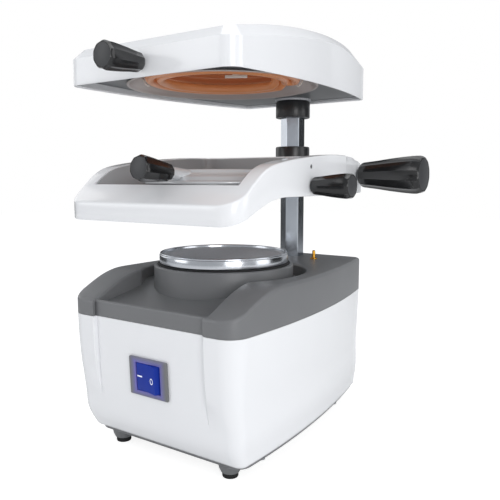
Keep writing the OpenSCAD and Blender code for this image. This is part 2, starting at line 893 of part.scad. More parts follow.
module switch_body() {
    color(BLACK) on_panel() difference() {
        union() {
            translate([-body_w / 2, -body_h / 2, -body_depth]) cube([body_w, body_h, body_depth]);
            for (x = [-8, 0, 8]) translate([x - 0.4, -3, -body_depth - 7]) cube([0.8, 6, 8]);
        }
        translate([-window_w / 2, -window_h / 2, -body_depth + 8])
            cube([window_w, window_h, body_depth]);
        translate([0, 0, -rocker_pivot]) rotate([90, 0, 0])
            cylinder(r = trunnion_r + run, h = body_h + 4, center = true);
    }
}

module switch_rocker() {
    end_h = 4.4;
    mid_h = 2.4;
    color(BLUE) on_panel() translate([0, 0, -rocker_pivot]) rotate([0, -rocker_tilt, 0])
        rotate([90, 0, 0]) {
            translate([0, 0, -rocker_h / 2]) linear_extrude(rocker_h) intersection() {
                circle(r = rocker_end_r);
                polygon([
                    [-rocker_w, -1.5], [-5, -4], [5, -4], [rocker_w, -1.5],
                    [rocker_w, rocker_pivot + end_h + 2.2],
                    [rocker_w / 2 - 3, rocker_pivot + end_h],
                    [0, rocker_pivot + mid_h],
                    [-rocker_w / 2 + 3, rocker_pivot + end_h],
                    [-rocker_w, rocker_pivot + end_h + 2.2]
                ]);
            }
            cylinder(r = trunnion_r, h = body_h - 0.4, center = true);
        }
}

// Vacuum pin

module vacuum_pin() {
    color(BRASS) translate([pin_x, pin_y, 0]) {
        translate([0, 0, pin_low]) cylinder(r = pin_r, h = pin_top - pin_low - 0.6);
        translate([0, 0, pin_top - 0.6]) cylinder(r1 = pin_r, r2 = pin_r - 0.5, h = 0.6);
        translate([0, 0, pin_collar_z]) cylinder(r = 2.9, h = pin_collar_h);
    }
}

module pin_bush() {
    color(BRASS) translate([pin_x, pin_y, 0]) {
        translate([0, 0, deck_z - bush_len]) tube(bush_r, pin_r + run, bush_len + 1.2);
        translate([0, 0, deck_z]) tube(pin_flange_r, bush_r - 0.5, 0.8);
    }
}

module pin_spring() {
    turns = 3;
    steps = 12;
    low = shelf_top + spring_wire + 0.05;
    high = pin_collar_z - spring_wire - 0.05;
    count = turns * steps;
    path = [for (i = [0:count])
        [spring_r * cos(360 * i / steps), spring_r * sin(360 * i / steps),
         low + (high - low) * i / count]];
    echo(least_spring_gap = least_gap(path, spring_wire, steps / 2));
    color(STEEL) translate([pin_x, pin_y, 0]) sweep(path, spring_wire, 6);
}

module pin_bracket() {
    drop = deck_z - wall - shelf_top + shelf_t;
    color(STEEL) translate([pin_x, pin_y, shelf_top - shelf_t]) {
        difference() {
            translate([-6, -7, 0]) cube([12, 16, shelf_t]);
            translate([0, 0, -1]) cylinder(r = pin_r + 0.4, h = 5);
        }
        translate([-6, 7.5, 0]) cube([12, 1.5, drop]);
        difference() {
            translate([-6, 7.5, drop - 1.5]) cube([12, 9, 1.5]);
            translate([0, 12.5, drop - 3]) cylinder(r = 1.6, h = 5);
        }
    }
}

module micro_switch() {
    color(BLACK) translate([pin_x, pin_y, shelf_top - shelf_t]) difference() {
        translate([-5, 2, -15.7]) cube([10, 7, 15.7]);
        translate([-6, 5.5, -12]) rotate([0, 90, 0]) cylinder(r = 1.2, h = 12);
    }
    color(BRASS) translate([pin_x, pin_y, pin_low - pin_travel - 0.6]) {
        translate([-2, -3, -0.4]) cube([4, 6, 0.4]);
    }
}

// Distance from a point to the piece of path between a and b
function from_piece(p, a, b) =
    let (d = b - a, t = max(0, min(1, (p - a) * d / (d * d)))) norm(p - a - t * d);

// Least gap of a wound tube to itself, over pieces that lie apart along its path
function least_gap(path, r, apart) = min([
    for (i = [0:len(path) - 1])
        for (k = [0:len(path) - 2])
            if (abs(i - k) > apart) from_piece(path[i], path[k], path[k + 1])
]) - 2 * r;

// Tube with a number of sides along a path
function frame_x(d) =
    let (a = abs(d[2]) < 0.9 ? [0, 0, 1] : [1, 0, 0], c = cross(a, d)) c / norm(c);
module sweep(path, r, sides) {
    n = len(path) - 1;
    skin([
        for (i = [0:n])
            let (d = path[min(i + 1, n)] - path[max(i - 1, 0)],
                 u = d / norm(d), x = frame_x(u), y = cross(u, x))
            [for (k = [0:sides - 1])
                path[i] + r * (cos(360 * k / sides) * x + sin(360 * k / sides) * y)]
    ]);
}

// Column

module column() {
    color(CHROME) translate([0, column_y, 0]) difference() {
        union() {
            translate([0, 0, column_z]) linear_extrude(column_top - column_z) hexagon(column_af);
            translate([0, 0, column_top]) cylinder(r = pivot_r, h = pivot_top - column_top);
        }
        translate([0, 0, column_z - 1]) cylinder(r = 4, h = 21);
        translate([0, 0, pivot_top - 14]) cylinder(r = 2.5, h = 15);
    }
}

module column_socket() {
    color(STEEL) translate([0, column_y, shell_z]) difference() {
        union() {
            cylinder(r = socket_r, h = 6);
            cylinder(r = socket_r - 4, h = socket_h);
        }
        translate([0, 0, column_z - shell_z]) linear_extrude(socket_h) hexagon(column_af + 2 * seat);
        translate([0, 0, -1]) cylinder(r = 4.3, h = 10);
    }
}

module column_bolt() {
    color(STEEL) translate([0, column_y, 0]) {
        translate([0, 0, plate_z]) cylinder(r = 3.98, h = column_z + 18 - plate_z);
        translate([0, 0, plate_z - 5]) cylinder(r = 7.5, h = 5, $fn = 6);
    }
}

module upper_collar() {
    color(BLACK) translate([0, column_y, 0]) difference() {
        rotate_extrude() polygon([
            [0, upper_collar_z], [collar_r - collar_edge, upper_collar_z],
            [collar_r, upper_collar_z + collar_edge],
            [collar_r, column_top - collar_edge], [collar_r - collar_edge, column_top],
            [0, column_top]
        ]);
        translate([0, 0, upper_collar_z - 1]) linear_extrude(upper_collar_h + 2)
            hexagon(column_af + 2 * seat);
    }
}

// Mains inlet

module mains_inlet() {
    y = base_rear - 1.1;
    color(BLACK) {
        difference() {
            union() {
                translate([inlet_x - inlet_w / 2, y - 22, inlet_z - inlet_h / 2])
                    cube([inlet_w, 22, inlet_h]);
                translate([inlet_x, y, inlet_z]) rotate([-90, 0, 0]) linear_extrude(2.5)
                    round_rect(-24, 24, -12, 12, 5);
            }
            translate([inlet_x, y - 16, inlet_z]) rotate([-90, 0, 0]) linear_extrude(30) polygon([
                [-11.6, -8], [11.6, -8], [11.6, 4], [7.6, 8], [-7.6, 8], [-11.6, 4]
            ]);
            for (x = [-inlet_screw_x, inlet_screw_x])
                translate([inlet_x + x, y - 2, inlet_z]) rotate([-90, 0, 0])
                    cylinder(r = inlet_screw_r + 0.05, h = 10);
        }
    }
    color(STEEL) for (p = [[-7, -2], [7, -2], [0, 2]])
        translate([inlet_x + p[0] - 1, y - 17, inlet_z - p[1] - 2]) cube([2, 14, 4]);
}

module fuse_holder() {
    color(BLACK) translate([fuse_x, base_rear - 20, inlet_z]) rotate([-90, 0, 0]) {
        cylinder(r = fuse_r, h = 22);
        translate([0, 0, 18.8]) difference() {
            cylinder(r = 8, h = 6);
            translate([-5, -0.8, 4.8]) cube([10, 1.6, 3]);
        }
    }
}

module inlet_screws() {
    color(STEEL) for (x = [-inlet_screw_x, inlet_screw_x])
        translate([inlet_x + x, base_rear - 1.08, inlet_z]) rotate([-90, 0, 0]) {
            translate([0, 0, 2.5]) cylinder(r = 2.8, h = 1.4, $fn = 32);
            translate([0, 0, -5]) cylinder(r = inlet_screw_r, h = 8, $fn = 32);
        }
}

// Carriage

module sheet_opening(gap) {
    round_rect(-opening_half_w - gap, opening_half_w + gap,
               -opening_front - gap, opening_rear + gap, 12 + gap);
    translate([-opening_half_w - gap, -opening_front - gap])
        square([2 * (opening_half_w + gap), 30]);
}

module carriage_body(inset) {
    plan_slab(inset, function(y) carriage_low(y) + (inset > 0 ? -1 : 0),
              function(y) carriage_high(y) - inset - edge_drop(8 - inset, base_rear - inset - y),
              round_edge(arm_edge_r), round_edge(inset > 0 ? 0.01 : 1));
}

module carriage_frame() {
    color(WHITE) difference() {
        carriage_body(0);
        translate([0, 0, carriage_rise - 20]) linear_extrude(120) sheet_opening(liner_t);
        translate([-150, rear_seam_y, carriage_rise - 20]) cube([300, 100, 120]);
        difference() {
            intersection() {
                carriage_body(wall);
                translate([-150, -base_front, 0]) cube([300, base_front + opening_rear, 400]);
            }
            translate([0, 0, carriage_rise - 20]) linear_extrude(120)
                sheet_opening(liner_t + wall);
        }
        translate([0, 0, side_z]) rotate([0, 90, 0]) cylinder(r = side_stud_r + run, h = 120);
        for (x = [-30, 30]) translate([x, 0, block_low + block_h / 2]) rotate([-90, 0, 0])
            cylinder(r = 2.1, h = 100);
    }
}

module carriage_rear_cover() {
    color(WHITE) difference() {
        intersection() {
            carriage_body(0);
            translate([-150, rear_seam_y + 0.1, 0]) cube([300, 100, 400]);
        }
        intersection() {
            plan_slab(wall, function(y) carriage_low(y) + wall,
                      function(y) carriage_high(y) - wall
                          - edge_drop(8 - wall, base_rear - wall - y),
                      round_edge(arm_edge_r), round_edge(1));
            translate([-150, rear_seam_y - 1, 0]) cube([300, 100, 400]);
        }
        translate([0, column_y, carriage_deck - 10]) cylinder(r = collar_r + fit, h = 80);
        translate([60, column_y, lock_z]) rotate([0, 90, 0])
            cylinder(r = lock_neck_r + fit, h = 60);
        translate([pin_x, pin_y, carriage_deck - 10]) cylinder(r = pin_flange_r + 1.6, h = 20);
    }
}

module carriage_liner() {
    ys = [for (i = [0:24]) -opening_front - liner_t - 0.5
          + (opening_rear + opening_front + 2 * liner_t + 1) * i / 24];
    color(DARK) difference() {
        intersection() {
            translate([0, 0, carriage_rise - 20]) linear_extrude(120) difference() {
                sheet_opening(liner_t - 0.02);
                sheet_opening(0);
            }
            across(200) polygon(concat(
                [for (y = ys) [y, carriage_low(y) + 1]],
                [for (i = [24:-1:0]) [ys[i], carriage_high(ys[i]) - 1]]
            ));
        }
        translate([0, 0, side_z]) rotate([0, 90, 0]) cylinder(r = side_stud_r + run, h = 120);
    }
}

module column_bush() {
    color(BLACK) translate([0, column_y, 0]) difference() {
        rotate_extrude() polygon([
            [0, bush_low], [collar_r, bush_low],
            [collar_r, bush_top - collar_edge], [collar_r - collar_edge, bush_top],
            [0, bush_top]
        ]);
        translate([0, 0, bush_low - 1]) linear_extrude(bush_top - bush_low + 2)
            hexagon(column_af + 2 * run);
        translate([0, 0, lock_z]) rotate([0, 90, 0]) cylinder(r = lock_stud_r + run, h = 40);
    }
}

module slide_block() {
    rear = base_rear - wall - 1.6;
    color(STEEL) translate([0, 0, block_low]) difference() {
        union() {
            translate([-block_half_w, block_front_y, 0]) cube([2 * block_half_w, 24, block_h]);
            translate([-24, block_front_y, 0]) cube([48, rear - block_front_y, block_h]);
            translate([-36, rear_seam_y + 0.2, 0]) cube([12, 8, block_h]);
            translate([24, rear_seam_y + 0.2, 0]) cube([12, 8, block_h]);
        }
        translate([0, column_y, -1]) cylinder(r = collar_r + seat, h = block_h + 2);
        translate([0, column_y, lock_z - block_low]) rotate([0, 90, 0])
            cylinder(r = lock_stud_r + run, h = 60);
        for (x = [-30, 30]) translate([x, rear_seam_y, block_h / 2]) rotate([-90, 0, 0])
            cylinder(r = 2 + seat, h = 15);
    }
}

module block_screws() {
    color(STEEL) for (x = [-30, 30])
        translate([x, opening_rear + liner_t + 0.4, block_low + block_h / 2]) rotate([-90, 0, 0])
            cylinder(r = 2, h = 16, $fn = 32);
}

module lower_sheet_ring() {
    color(LIGHT) difference() {
        union() {
            translate([0, 0, plate_low]) linear_extrude(ring_plate_t) difference() {
                round_rect(-opening_half_w + 0.1, opening_half_w - 0.1,
                           -opening_front + 0.1, opening_rear - 0.1, 12);
                circle(r = sheet_ring_r, $fn = 96);
            }
            translate([0, 0, plate_low])
                tube(clamp_flange_r, sheet_ring_r, ring_plate_t + ring_lip_t, $fn = 96);
            mirrored() hinge_lug();
        }
        mirrored() translate([0, hinge_y, hinge_z]) rotate([0, 90, 0])
            cylinder(r = hinge_r + seat, h = lug_out + 2, $fn = 32);
        translate([clamp_flange_r + 0.1, -4, side_z - 4]) cube([10, 8, 20]);
    }
}

module hinge_lug() {
    translate([lug_in, hinge_y, hinge_z]) rotate([0, 90, 0])
        cylinder(r = knuckle_r, h = lug_out - lug_in, $fn = 32);
    translate([lug_in, hinge_y - 1.4, plate_low])
        cube([lug_out - lug_in, knuckle_r + 1.4, hinge_z - plate_low]);
}

module sheet_seal() {
    color(BLACK) translate([0, 0, sheet_z - seal_t])
        tube(clamp_flange_r, sheet_ring_r, seal_t, $fn = 96);
}

module lock_handle() {
    color(BLACK) translate([handle_x, column_y, lock_z]) rotate([0, 90, 0]) rotate(18)
        knob(handle_len, handle_r, handle_neck_r, lock_stud_r + seat, lock_bore);
}

module lock_stud() {
    color(STEEL) translate([0, column_y, lock_z]) rotate([0, 90, 0]) {
        translate([0, 0, column_af / 2 + 0.15])
            cylinder(r = lock_stud_r, h = handle_x + lock_bore - 2 - column_af / 2);
        translate([0, 0, handle_x - 8]) cylinder(r = lock_neck_r, h = 8);
    }
}

module side_knob() {
    color(BLACK) translate([side_knob_x, 0, side_z]) rotate([0, 90, 0])
        knob(knob_len, knob_r, knob_neck_r, side_stud_r + seat, knob_bore);
}

module side_stud() {
    color(STEEL) translate([0, 0, side_z]) rotate([0, 90, 0]) {
        translate([0, 0, opening_half_w + 0.4])
            cylinder(r = side_stud_r, h = side_knob_x + 15 - opening_half_w);
        translate([0, 0, clamp_flange_r + 0.5]) cylinder(r = side_tip_r, h = 10);
    }
}

// Clamp ring

// Outer line of the clamp's dome, grown by e
function dome_line(e) = [
    [clamp_flange_r + e, clamp_z - e], [clamp_flange_r + e, clamp_z + clamp_flange_t - 0.5 + e],
    [clamp_flange_r - 0.5 + e, clamp_z + clamp_flange_t + e],
    [rim_r + 4 + e, clamp_z + clamp_flange_t + e], [rim_r + 2.8 + e, clamp_z + 4.6 + e],
    [rim_r + 0.4 + e, clamp_z + 6.6 + e], [dome_top_r + 4 + e, clamp_z + 8 + e],
    [dome_top_r + 2.2 + e, clamp_z + dome_h - 1.4 + e],
    [dome_top_r + 1 + e, clamp_z + dome_h + e]
];

module clamp_ring() {
    z = clamp_z;
    color(LIGHT) difference() {
        union() {
            rotate_extrude($fn = 96) polygon(concat([[rim_r + 2.2, z]], dome_line(0), [
                [dome_top_r - 0.6, z + dome_h], [dome_top_r - 1.2, z + dome_h - 1.4],
                [dome_top_r - 0.6, z + 7], [rim_r - 1.5, z + 5.9], [rim_r + 0.9, z + 5.4]
            ]));
            mirrored() clamp_ear();
        }
        mirrored() translate([ear_in - 2, hinge_y, hinge_z]) rotate([0, 90, 0])
            cylinder(r = hinge_r + run, h = ear_out - ear_in + 4, $fn = 32);
    }
}

module clamp_ear() {
    translate([ear_in, hinge_y, hinge_z]) rotate([0, 90, 0])
        cylinder(r = knuckle_r, h = ear_out - ear_in, $fn = 32);
    translate([ear_in, hinge_y - 6, clamp_z])
        cube([ear_out - ear_in, 6, hinge_z - clamp_z + 1]);
}

// Local frame of the clamp's rod: Z along it, from the dome to the knob
module on_rod() {
    translate([0, rod_start_y, rod_start_z]) rotate([90 - rod_tilt, 0, 0]) children();
}

module clamp_rod() {
    color(LIGHT) difference() {
        on_rod() cylinder(r = rod_r, h = -clamp_knob_y - dome_top_r + 16);
        rotate_extrude($fn = 96) polygon(concat([[0, clamp_z]], dome_line(seat), [
            [0, clamp_z + dome_h + seat]
        ]));
    }
}

module clamp_knob() {
    along = (-clamp_knob_y + rod_start_y) / cos(rod_tilt);
    color(BLACK) on_rod()
        translate([0, 0, along]) rotate(18) knob(knob_len, knob_r, knob_neck_r, rod_r + seat, knob_bore);
}

module clamp_hinge_pin() {
    color(CHROME) translate([-lug_out - 0.5, hinge_y, hinge_z]) rotate([0, 90, 0])
        cylinder(r = hinge_r, h = 2 * lug_out + 1, $fn = 32);
}

// Head

module head_shell() {
    color(WHITE) difference() {
        head_slab(0, function(y) head_low(y), function(y) head_high(y),
                  function(y) bevel_at(y));
        head_slab(head_wall, function(y) head_low(y) - 2,
                  function(y) head_high(y) - head_wall, function(y) bevel_at(y));
        translate([0, -head_front - 2, head_knob_z]) rotate([-90, 0, 0])
            cylinder(r = side_stud_r + seat, h = 10);
    }
}

module head_liner() {
    color(DARK) difference() {
        head_slab(head_wall + 0.1, function(y) liner_z, function(y) liner_z + 1.5,
                  function(y) [[0, 0]]);
        translate([0, 0, liner_z - 1]) linear_extrude(5) pan_outline(0.3);
        translate([0, column_y, liner_z - 1]) cylinder(r = hub_r + 0.1, h = 5);
        translate([-nut_r - 1, -head_front, liner_z - 1]) cube([2 * nut_r + 2, 10, 5]);
    }
}

module pan_outline(gap) {
    round_rect(-reflector_half_w - gap, reflector_half_w + gap,
               -reflector_half_w - gap, reflector_half_w + gap, pan_r + gap);
}

module reflector() {
    color(CHROME) difference() {
        union() {
            translate([0, 0, pan_z]) linear_extrude(pan_h) pan_outline(0);
            translate([0, 0, pan_z]) linear_extrude(pan_t) pan_outline(2);
        }
        translate([0, 0, pan_z - 1]) linear_extrude(pan_h + 1 - pan_t) pan_outline(-pan_t);
        heater_ends() cylinder(r = heater_tube_r + 0.6, h = pan_h + 5);
    }
}

module heater_ends() {
    for (end = [[heater_turn_r, end_out_a], [heater_turn_r - turn_gap, end_in_a]])
        rotate(end[1]) translate([end[0], 0, pan_z]) children();
}

// Heater tube: one unbroken tube of two turns, its ends rising to the terminals
module heater_tube() {
    steps = 24;
    inner_r = heater_turn_r - turn_gap;
    turn_a = 330;
    start_a = heater_start_a;
    top = pan_z + pan_h - heater_z;
    count = floor(steps * turn_a / 360);
    function on(r, a, z) = [r * cos(a), r * sin(a), heater_z + z];
    outer = [for (i = [0:count]) on(heater_turn_r, start_a + turn_a * i / count, 0)];
    bend = [for (i = [1:3]) on(heater_turn_r - turn_gap / 2 * (1 - cos(45 * i)),
                               start_a + turn_a + 5 * sin(45 * i), 0)];
    inner = [for (i = [0:count]) on(inner_r, start_a + turn_a - turn_a * i / count, 0)];
    up_out = [for (z = [top, 9, 3.5]) on(heater_turn_r, end_out_a, z)];
    up_in = [for (z = [3.5, 9, top]) on(inner_r, end_in_a, z)];
    path = concat(up_out, outer, bend, inner, up_in);
    echo(least_heater_gap = least_gap(path, heater_tube_r, 6));
    color(ORANGE) sweep(path, heater_tube_r, 8);
}

module heater_clips() {
    inner_r = heater_turn_r - turn_gap;
    color(STEEL) for (a = [20, 170, 270]) rotate(a) {
        translate([inner_r - 6, -1.5, heater_z + heater_tube_r + 0.15])
            cube([turn_gap + 12, 3, 1]);
        for (x = [inner_r - heater_tube_r - 1.8, heater_turn_r + heater_tube_r + 0.2])
            translate([x, -1.5, heater_z - 3]) cube([1, 3, heater_tube_r + 4]);
        translate([inner_r + turn_gap / 2 - 1, -1.5, heater_z + heater_tube_r + 1])
            cube([2, 3, pan_z + pan_h - pan_t - heater_z - heater_tube_r - 1.05]);
    }
}

module terminal_block() {
    color(WHITE) translate([0, 0, pan_z + pan_h + 0.05])
        translate([-28, 39, 0]) difference() {
            cube([40, 20, 8]);
            for (x = [8, 20, 32]) translate([x, 10, 2]) cylinder(r = 2.5, h = 10);
        }
}

module head_hub() {
    color(LIGHT) translate([0, column_y, 0]) difference() {
        union() {
            translate([0, 0, hub_z]) cylinder(r = hub_r, h = hub_h);
            translate([-30, -12, liner_z + 1.6]) cube([60, 24, 6]);
        }
        translate([0, 0, hub_z - 1]) cylinder(r = pivot_r + run, h = hub_h + 2);
        translate([-hub_r, hub_flat_y, hub_z - 1]) cube([2 * hub_r, 10, hub_h + 2]);
    }
}

module pivot_fastener() {
    color(STEEL) translate([0, column_y, pivot_top]) {
        cylinder(r = 12, h = 1.5);
        translate([0, 0, 1.5]) cylinder(r = 5, h = 4, $fn = 6);
        translate([0, 0, -12]) cylinder(r = 2.48, h = 13);
    }
}

module head_knob() {
    color(BLACK) translate([0, -head_front - 1.5, head_knob_z]) rotate([90, 0, 0])
        rotate(18) knob(knob_len + 2, knob_r, knob_neck_r, side_stud_r + seat, knob_bore);
}

module head_stud() {
    color(STEEL) translate([0, -head_front, head_knob_z]) rotate([90, 0, 0]) {
        translate([0, 0, -head_wall - 3]) cylinder(r = side_stud_r, h = 18 + head_wall, $fn = 32);
        translate([0, 0, -head_wall - 4]) cylinder(r = nut_r, h = 3.8, $fn = 6);
    }
}

base_shell();
top_cover();
bottom_plate();
feet();
foot_pads();
plate_screws();
chamber_bowl();
chamber_seal();
rim_ring();
perforated_plate();
intake_gasket();
motor_mount();
motor_housing();
motor_bearings();
field_core();
field_coils();
motor_armature();
fan_wheel();
turbine_casing();
switch_bezel();
switch_body();
switch_rocker();
vacuum_pin();
pin_bush();
pin_spring();
pin_bracket();
micro_switch();
column();
column_socket();
column_bolt();
upper_collar();
mains_inlet();
fuse_holder();
inlet_screws();
carriage_frame();
carriage_rear_cover();
carriage_liner();
column_bush();
slide_block();
block_screws();
lower_sheet_ring();
sheet_seal();
lock_handle();
lock_stud();
side_knob();
side_stud();
clamp_ring();
clamp_rod();
clamp_knob();
clamp_hinge_pin();
head_shell();
head_liner();
reflector();
heater_tube();
heater_clips();
terminal_block();
head_hub();
pivot_fastener();
head_knob();
head_stud();
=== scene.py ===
"""Looks of a dental vacuum former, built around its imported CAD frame.

The frame gives the solids, bodies and joints. This script dresses them: it remodels what shows,
lets each piece ride on its body, gives every piece a procedural finish, and sets a pale studio.
Lengths in the classes are millimetres; meshes are in metres.
"""

import json
import logging
import math
from dataclasses import dataclass, field, replace
from enum import Enum
from typing import Callable, Optional, Sequence, Union

import bmesh
import bpy
from mathutils import Euler, Matrix, Vector

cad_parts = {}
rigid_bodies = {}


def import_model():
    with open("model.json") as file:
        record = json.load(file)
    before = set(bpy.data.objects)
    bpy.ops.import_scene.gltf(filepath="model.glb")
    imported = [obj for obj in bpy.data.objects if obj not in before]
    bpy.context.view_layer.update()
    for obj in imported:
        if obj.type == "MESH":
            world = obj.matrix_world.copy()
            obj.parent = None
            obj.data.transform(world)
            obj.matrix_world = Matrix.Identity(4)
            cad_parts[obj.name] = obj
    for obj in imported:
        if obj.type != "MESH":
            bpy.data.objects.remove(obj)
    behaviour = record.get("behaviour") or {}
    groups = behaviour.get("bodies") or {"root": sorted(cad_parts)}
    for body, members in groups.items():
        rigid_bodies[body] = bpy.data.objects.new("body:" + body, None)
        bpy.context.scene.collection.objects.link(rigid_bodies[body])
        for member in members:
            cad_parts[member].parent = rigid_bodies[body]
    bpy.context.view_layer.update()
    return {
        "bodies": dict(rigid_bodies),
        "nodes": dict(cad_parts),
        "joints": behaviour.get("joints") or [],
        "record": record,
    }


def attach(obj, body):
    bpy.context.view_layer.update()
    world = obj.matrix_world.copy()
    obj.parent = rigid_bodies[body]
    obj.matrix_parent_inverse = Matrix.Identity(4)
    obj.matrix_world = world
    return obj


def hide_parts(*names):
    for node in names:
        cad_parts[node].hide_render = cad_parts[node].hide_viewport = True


MM = 0.001
LOG = logging.getLogger("vacuum_former")
QUARTER = math.pi / 2

# Places that several sub-assemblies share, in millimetres.
COLUMN_AT = (0.0, 115.0)
PIN_AT = (34.0, 99.0)
SWITCH_Z = 72.0
SIDE_KNOB_Z = 215.0
LOCK_Z = 224.0

Spot = tuple[float, float]
Point = tuple[float, float, float]
Ring = list[Point]
Obj = bpy.types.Object


# Shader maths


class Sock:
    """One node socket, on which arithmetic adds Math nodes."""

    def __init__(self, graph: "Graph", socket: bpy.types.NodeSocket) -> None:
        """Keeps the graph that the socket belongs to."""
        self.graph = graph
        self.socket = socket

    def _math(self, operation: str, *values: object) -> "Sock":
        """Adds a Math node on these values."""
        settings = {"operation": operation}
        return self.graph.node("ShaderNodeMath", settings, dict(enumerate(values)))

    def __add__(self, other: object) -> "Sock":
        """Sum."""
        return self._math("ADD", self, other)

    __radd__ = __add__

    def __mul__(self, other: object) -> "Sock":
        """Product."""
        return self._math("MULTIPLY", self, other)

    __rmul__ = __mul__

    def __sub__(self, other: object) -> "Sock":
        """Difference."""
        return self._math("SUBTRACT", self, other)

    def __rsub__(self, other: object) -> "Sock":
        """Difference from a number."""
        return self._math("SUBTRACT", other, self)

    def clamp(self, low: float, high: float) -> "Sock":
        """Value held between two limits."""
        return self._math("MAXIMUM", self._math("MINIMUM", self, high), low)

    def magnitude(self) -> "Sock":
        """The value without its sign."""
        return self._math("ABSOLUTE", self)

    def larger(self, other: object) -> "Sock":
        """The larger of this value and another."""
        return self._math("MAXIMUM", self, other)

    def power(self, exponent: float) -> "Sock":
        """Value raised to an exponent."""
        return self._math("POWER", self, exponent)


class Graph:
    """Node tree of one material, filled through a single method."""

    def __init__(self, name: str) -> None:
        """Makes an empty material with its output.

        Args:
            name: the material's name.
        """
        self.material = bpy.data.materials.new(name)
        self.material.use_nodes = True
        self.tree = self.material.node_tree
        self.tree.nodes.clear()
        self.out = self.tree.nodes.new("ShaderNodeOutputMaterial")

    def node(
        self,
        kind: str,
        settings: Optional[dict[str, object]] = None,
        values: Optional[dict[Union[str, int], object]] = None,
        output: Union[str, int] = 0,
    ) -> Sock:
        """Adds a node.

        Args:
            kind: the node's type.
            settings: properties, which are set before its sockets.
            values: numbers, colours or sockets for its inputs.
            output: which output is returned.

        Returns:
            The chosen output.
        """
        made = self.tree.nodes.new(kind)
        for key, value in (settings or {}).items():
            setattr(made, key, value)
        for key, value in (values or {}).items():
            if isinstance(value, Sock):
                self.tree.links.new(value.socket, made.inputs[key])
            elif isinstance(value, tuple) and len(value) == 3 and made.inputs[key].type == "RGBA":
                made.inputs[key].default_value = (*value, 1.0)
            else:
                made.inputs[key].default_value = value
        return Sock(self, made.outputs[output])

    def place(self, scale: Point = (1.0, 1.0, 1.0)) -> Sock:
        """Object coordinates in metres, stretched by a scale."""
        at = self.node("ShaderNodeTexCoord", output="Object")
        return self.node("ShaderNodeMapping", values={"Vector": at, "Scale": scale})

    def noise(self, scale: float, detail: float = 2.0, stretch: Point = (1.0, 1.0, 1.0)) -> Sock:
        """Soft noise from 0 to 1 with a scale per metre."""
        values = {"Vector": self.place(stretch), "Scale": scale, "Detail": detail}
        return self.node("ShaderNodeTexNoise", values=values)

    def mix(self, factor: object, a: Union[Point, Sock], b: Union[Point, Sock]) -> Sock:
        """Colour between two colours."""
        return self.node("ShaderNodeMix", {"data_type": "RGBA"}, {0: factor, 6: a, 7: b}, 2)

    def bump(self, height: Sock, strength: float, distance: float) -> Sock:
        """Surface normal from a height, with its distance in metres."""
        values = {"Height": height, "Strength": strength, "Distance": distance}
        return self.node("ShaderNodeBump", values=values)

    def emission(self, colour: Point, strength: float) -> Sock:
        """Shader that only shines."""
        return self.node("ShaderNodeEmission", values={"Color": colour, "Strength": strength})

    def close(self, shader: Sock) -> bpy.types.Material:
        """Joins a shader to the output and returns the material."""
        self.tree.links.new(shader.socket, self.out.inputs["Surface"])
        return self.material


def linear(red: int, green: int, blue: int) -> Point:
    """Colour of a photograph's 8-bit values, as the shader wants it.

    Args:
        red: red from 0 to 255.
        green: green from 0 to 255.
        blue: blue from 0 to 255.

    Returns:
        The linear colour.
    """

    def one(value: int) -> float:
        """One channel."""
        c = value / 255
        return c / 12.92 if c <= 0.04045 else ((c + 0.055) / 1.055) ** 2.4

    return (one(red), one(green), one(blue))


@dataclass(frozen=True)
class Finish:
    """A surface finish: two near colours, a gloss and a fine relief."""

    name: str
    colour: Point
    shade: Point
    rough: float
    rough_spread: float = 0.04
    metal: float = 0.0
    coat: float = 0.0
    mottle: float = 40.0
    grain: float = 2500.0
    grain_stretch: Point = (1.0, 1.0, 1.0)
    relief: float = 0.08
    depth: float = 0.00004
    glow: Optional[Point] = None
    glow_strength: float = 0.0
    specular: float = 0.5
    coat_rough: float = 0.08
    # Painted light: the rocker's violet light round its window, given as half width, half height
    # and reach in millimetres, and its colour.
    painted_rocker_light: Optional[Point] = None
    painted_rocker_light_colour: Point = (0.0, 0.0, 0.0)

    def paint_rocker_light(self, g: Graph, colour: Sock) -> Sock:
        """Paints the light that the rocker throws on what lies round its window into the colour:
        painted light.

        Args:
            g: the material's node tree.
            colour: the plain colour.

        Returns:
            The colour, with the rocker's light painted in towards the window where the finish asks
            for it.
        """
        if self.painted_rocker_light is None:
            return colour
        half_x, half_z, reach = self.painted_rocker_light
        axes = g.node("ShaderNodeSeparateXYZ", values={"Vector": g.place()}).socket.node.outputs
        x = Sock(g, axes["X"]).magnitude() * (1.0 / MM) - half_x
        z = (Sock(g, axes["Z"]) * (1.0 / MM) - SWITCH_Z).magnitude() - half_z
        near = (x.larger(z) * (-1.0 / reach) + 1.0).clamp(0.0, 1.0)
        return g.mix(near.power(1.6), colour, self.painted_rocker_light_colour)

    def build(self) -> bpy.types.Material:
        """Makes the material.

        Returns:
            A material with mottled colour, uneven gloss and a fine grain.
        """
        g = Graph(self.name)
        cloud = g.noise(self.mottle, 3.0)
        fine = g.noise(self.grain, 2.0, self.grain_stretch)
        shader = g.node(
            "ShaderNodeBsdfPrincipled",
            values={
                "Base Color": self.paint_rocker_light(g, g.mix(cloud, self.colour, self.shade)),
                "Roughness": (
                    (cloud - 0.5) * self.rough_spread
                    + (fine - 0.5) * self.rough_spread
                    + self.rough
                ).clamp(0.02, 1.0),
                "Metallic": self.metal,
                "Coat Weight": self.coat,
                "Coat Roughness": self.coat_rough,
                "Specular IOR Level": self.specular,
                "Normal": g.bump(fine, self.relief, self.depth),
            },
        )
        if self.glow is not None:
            node = shader.socket.node
            node.inputs["Emission Color"].default_value = (*self.glow, 1.0)
            node.inputs["Emission Strength"].default_value = self.glow_strength
        return g.close(shader)


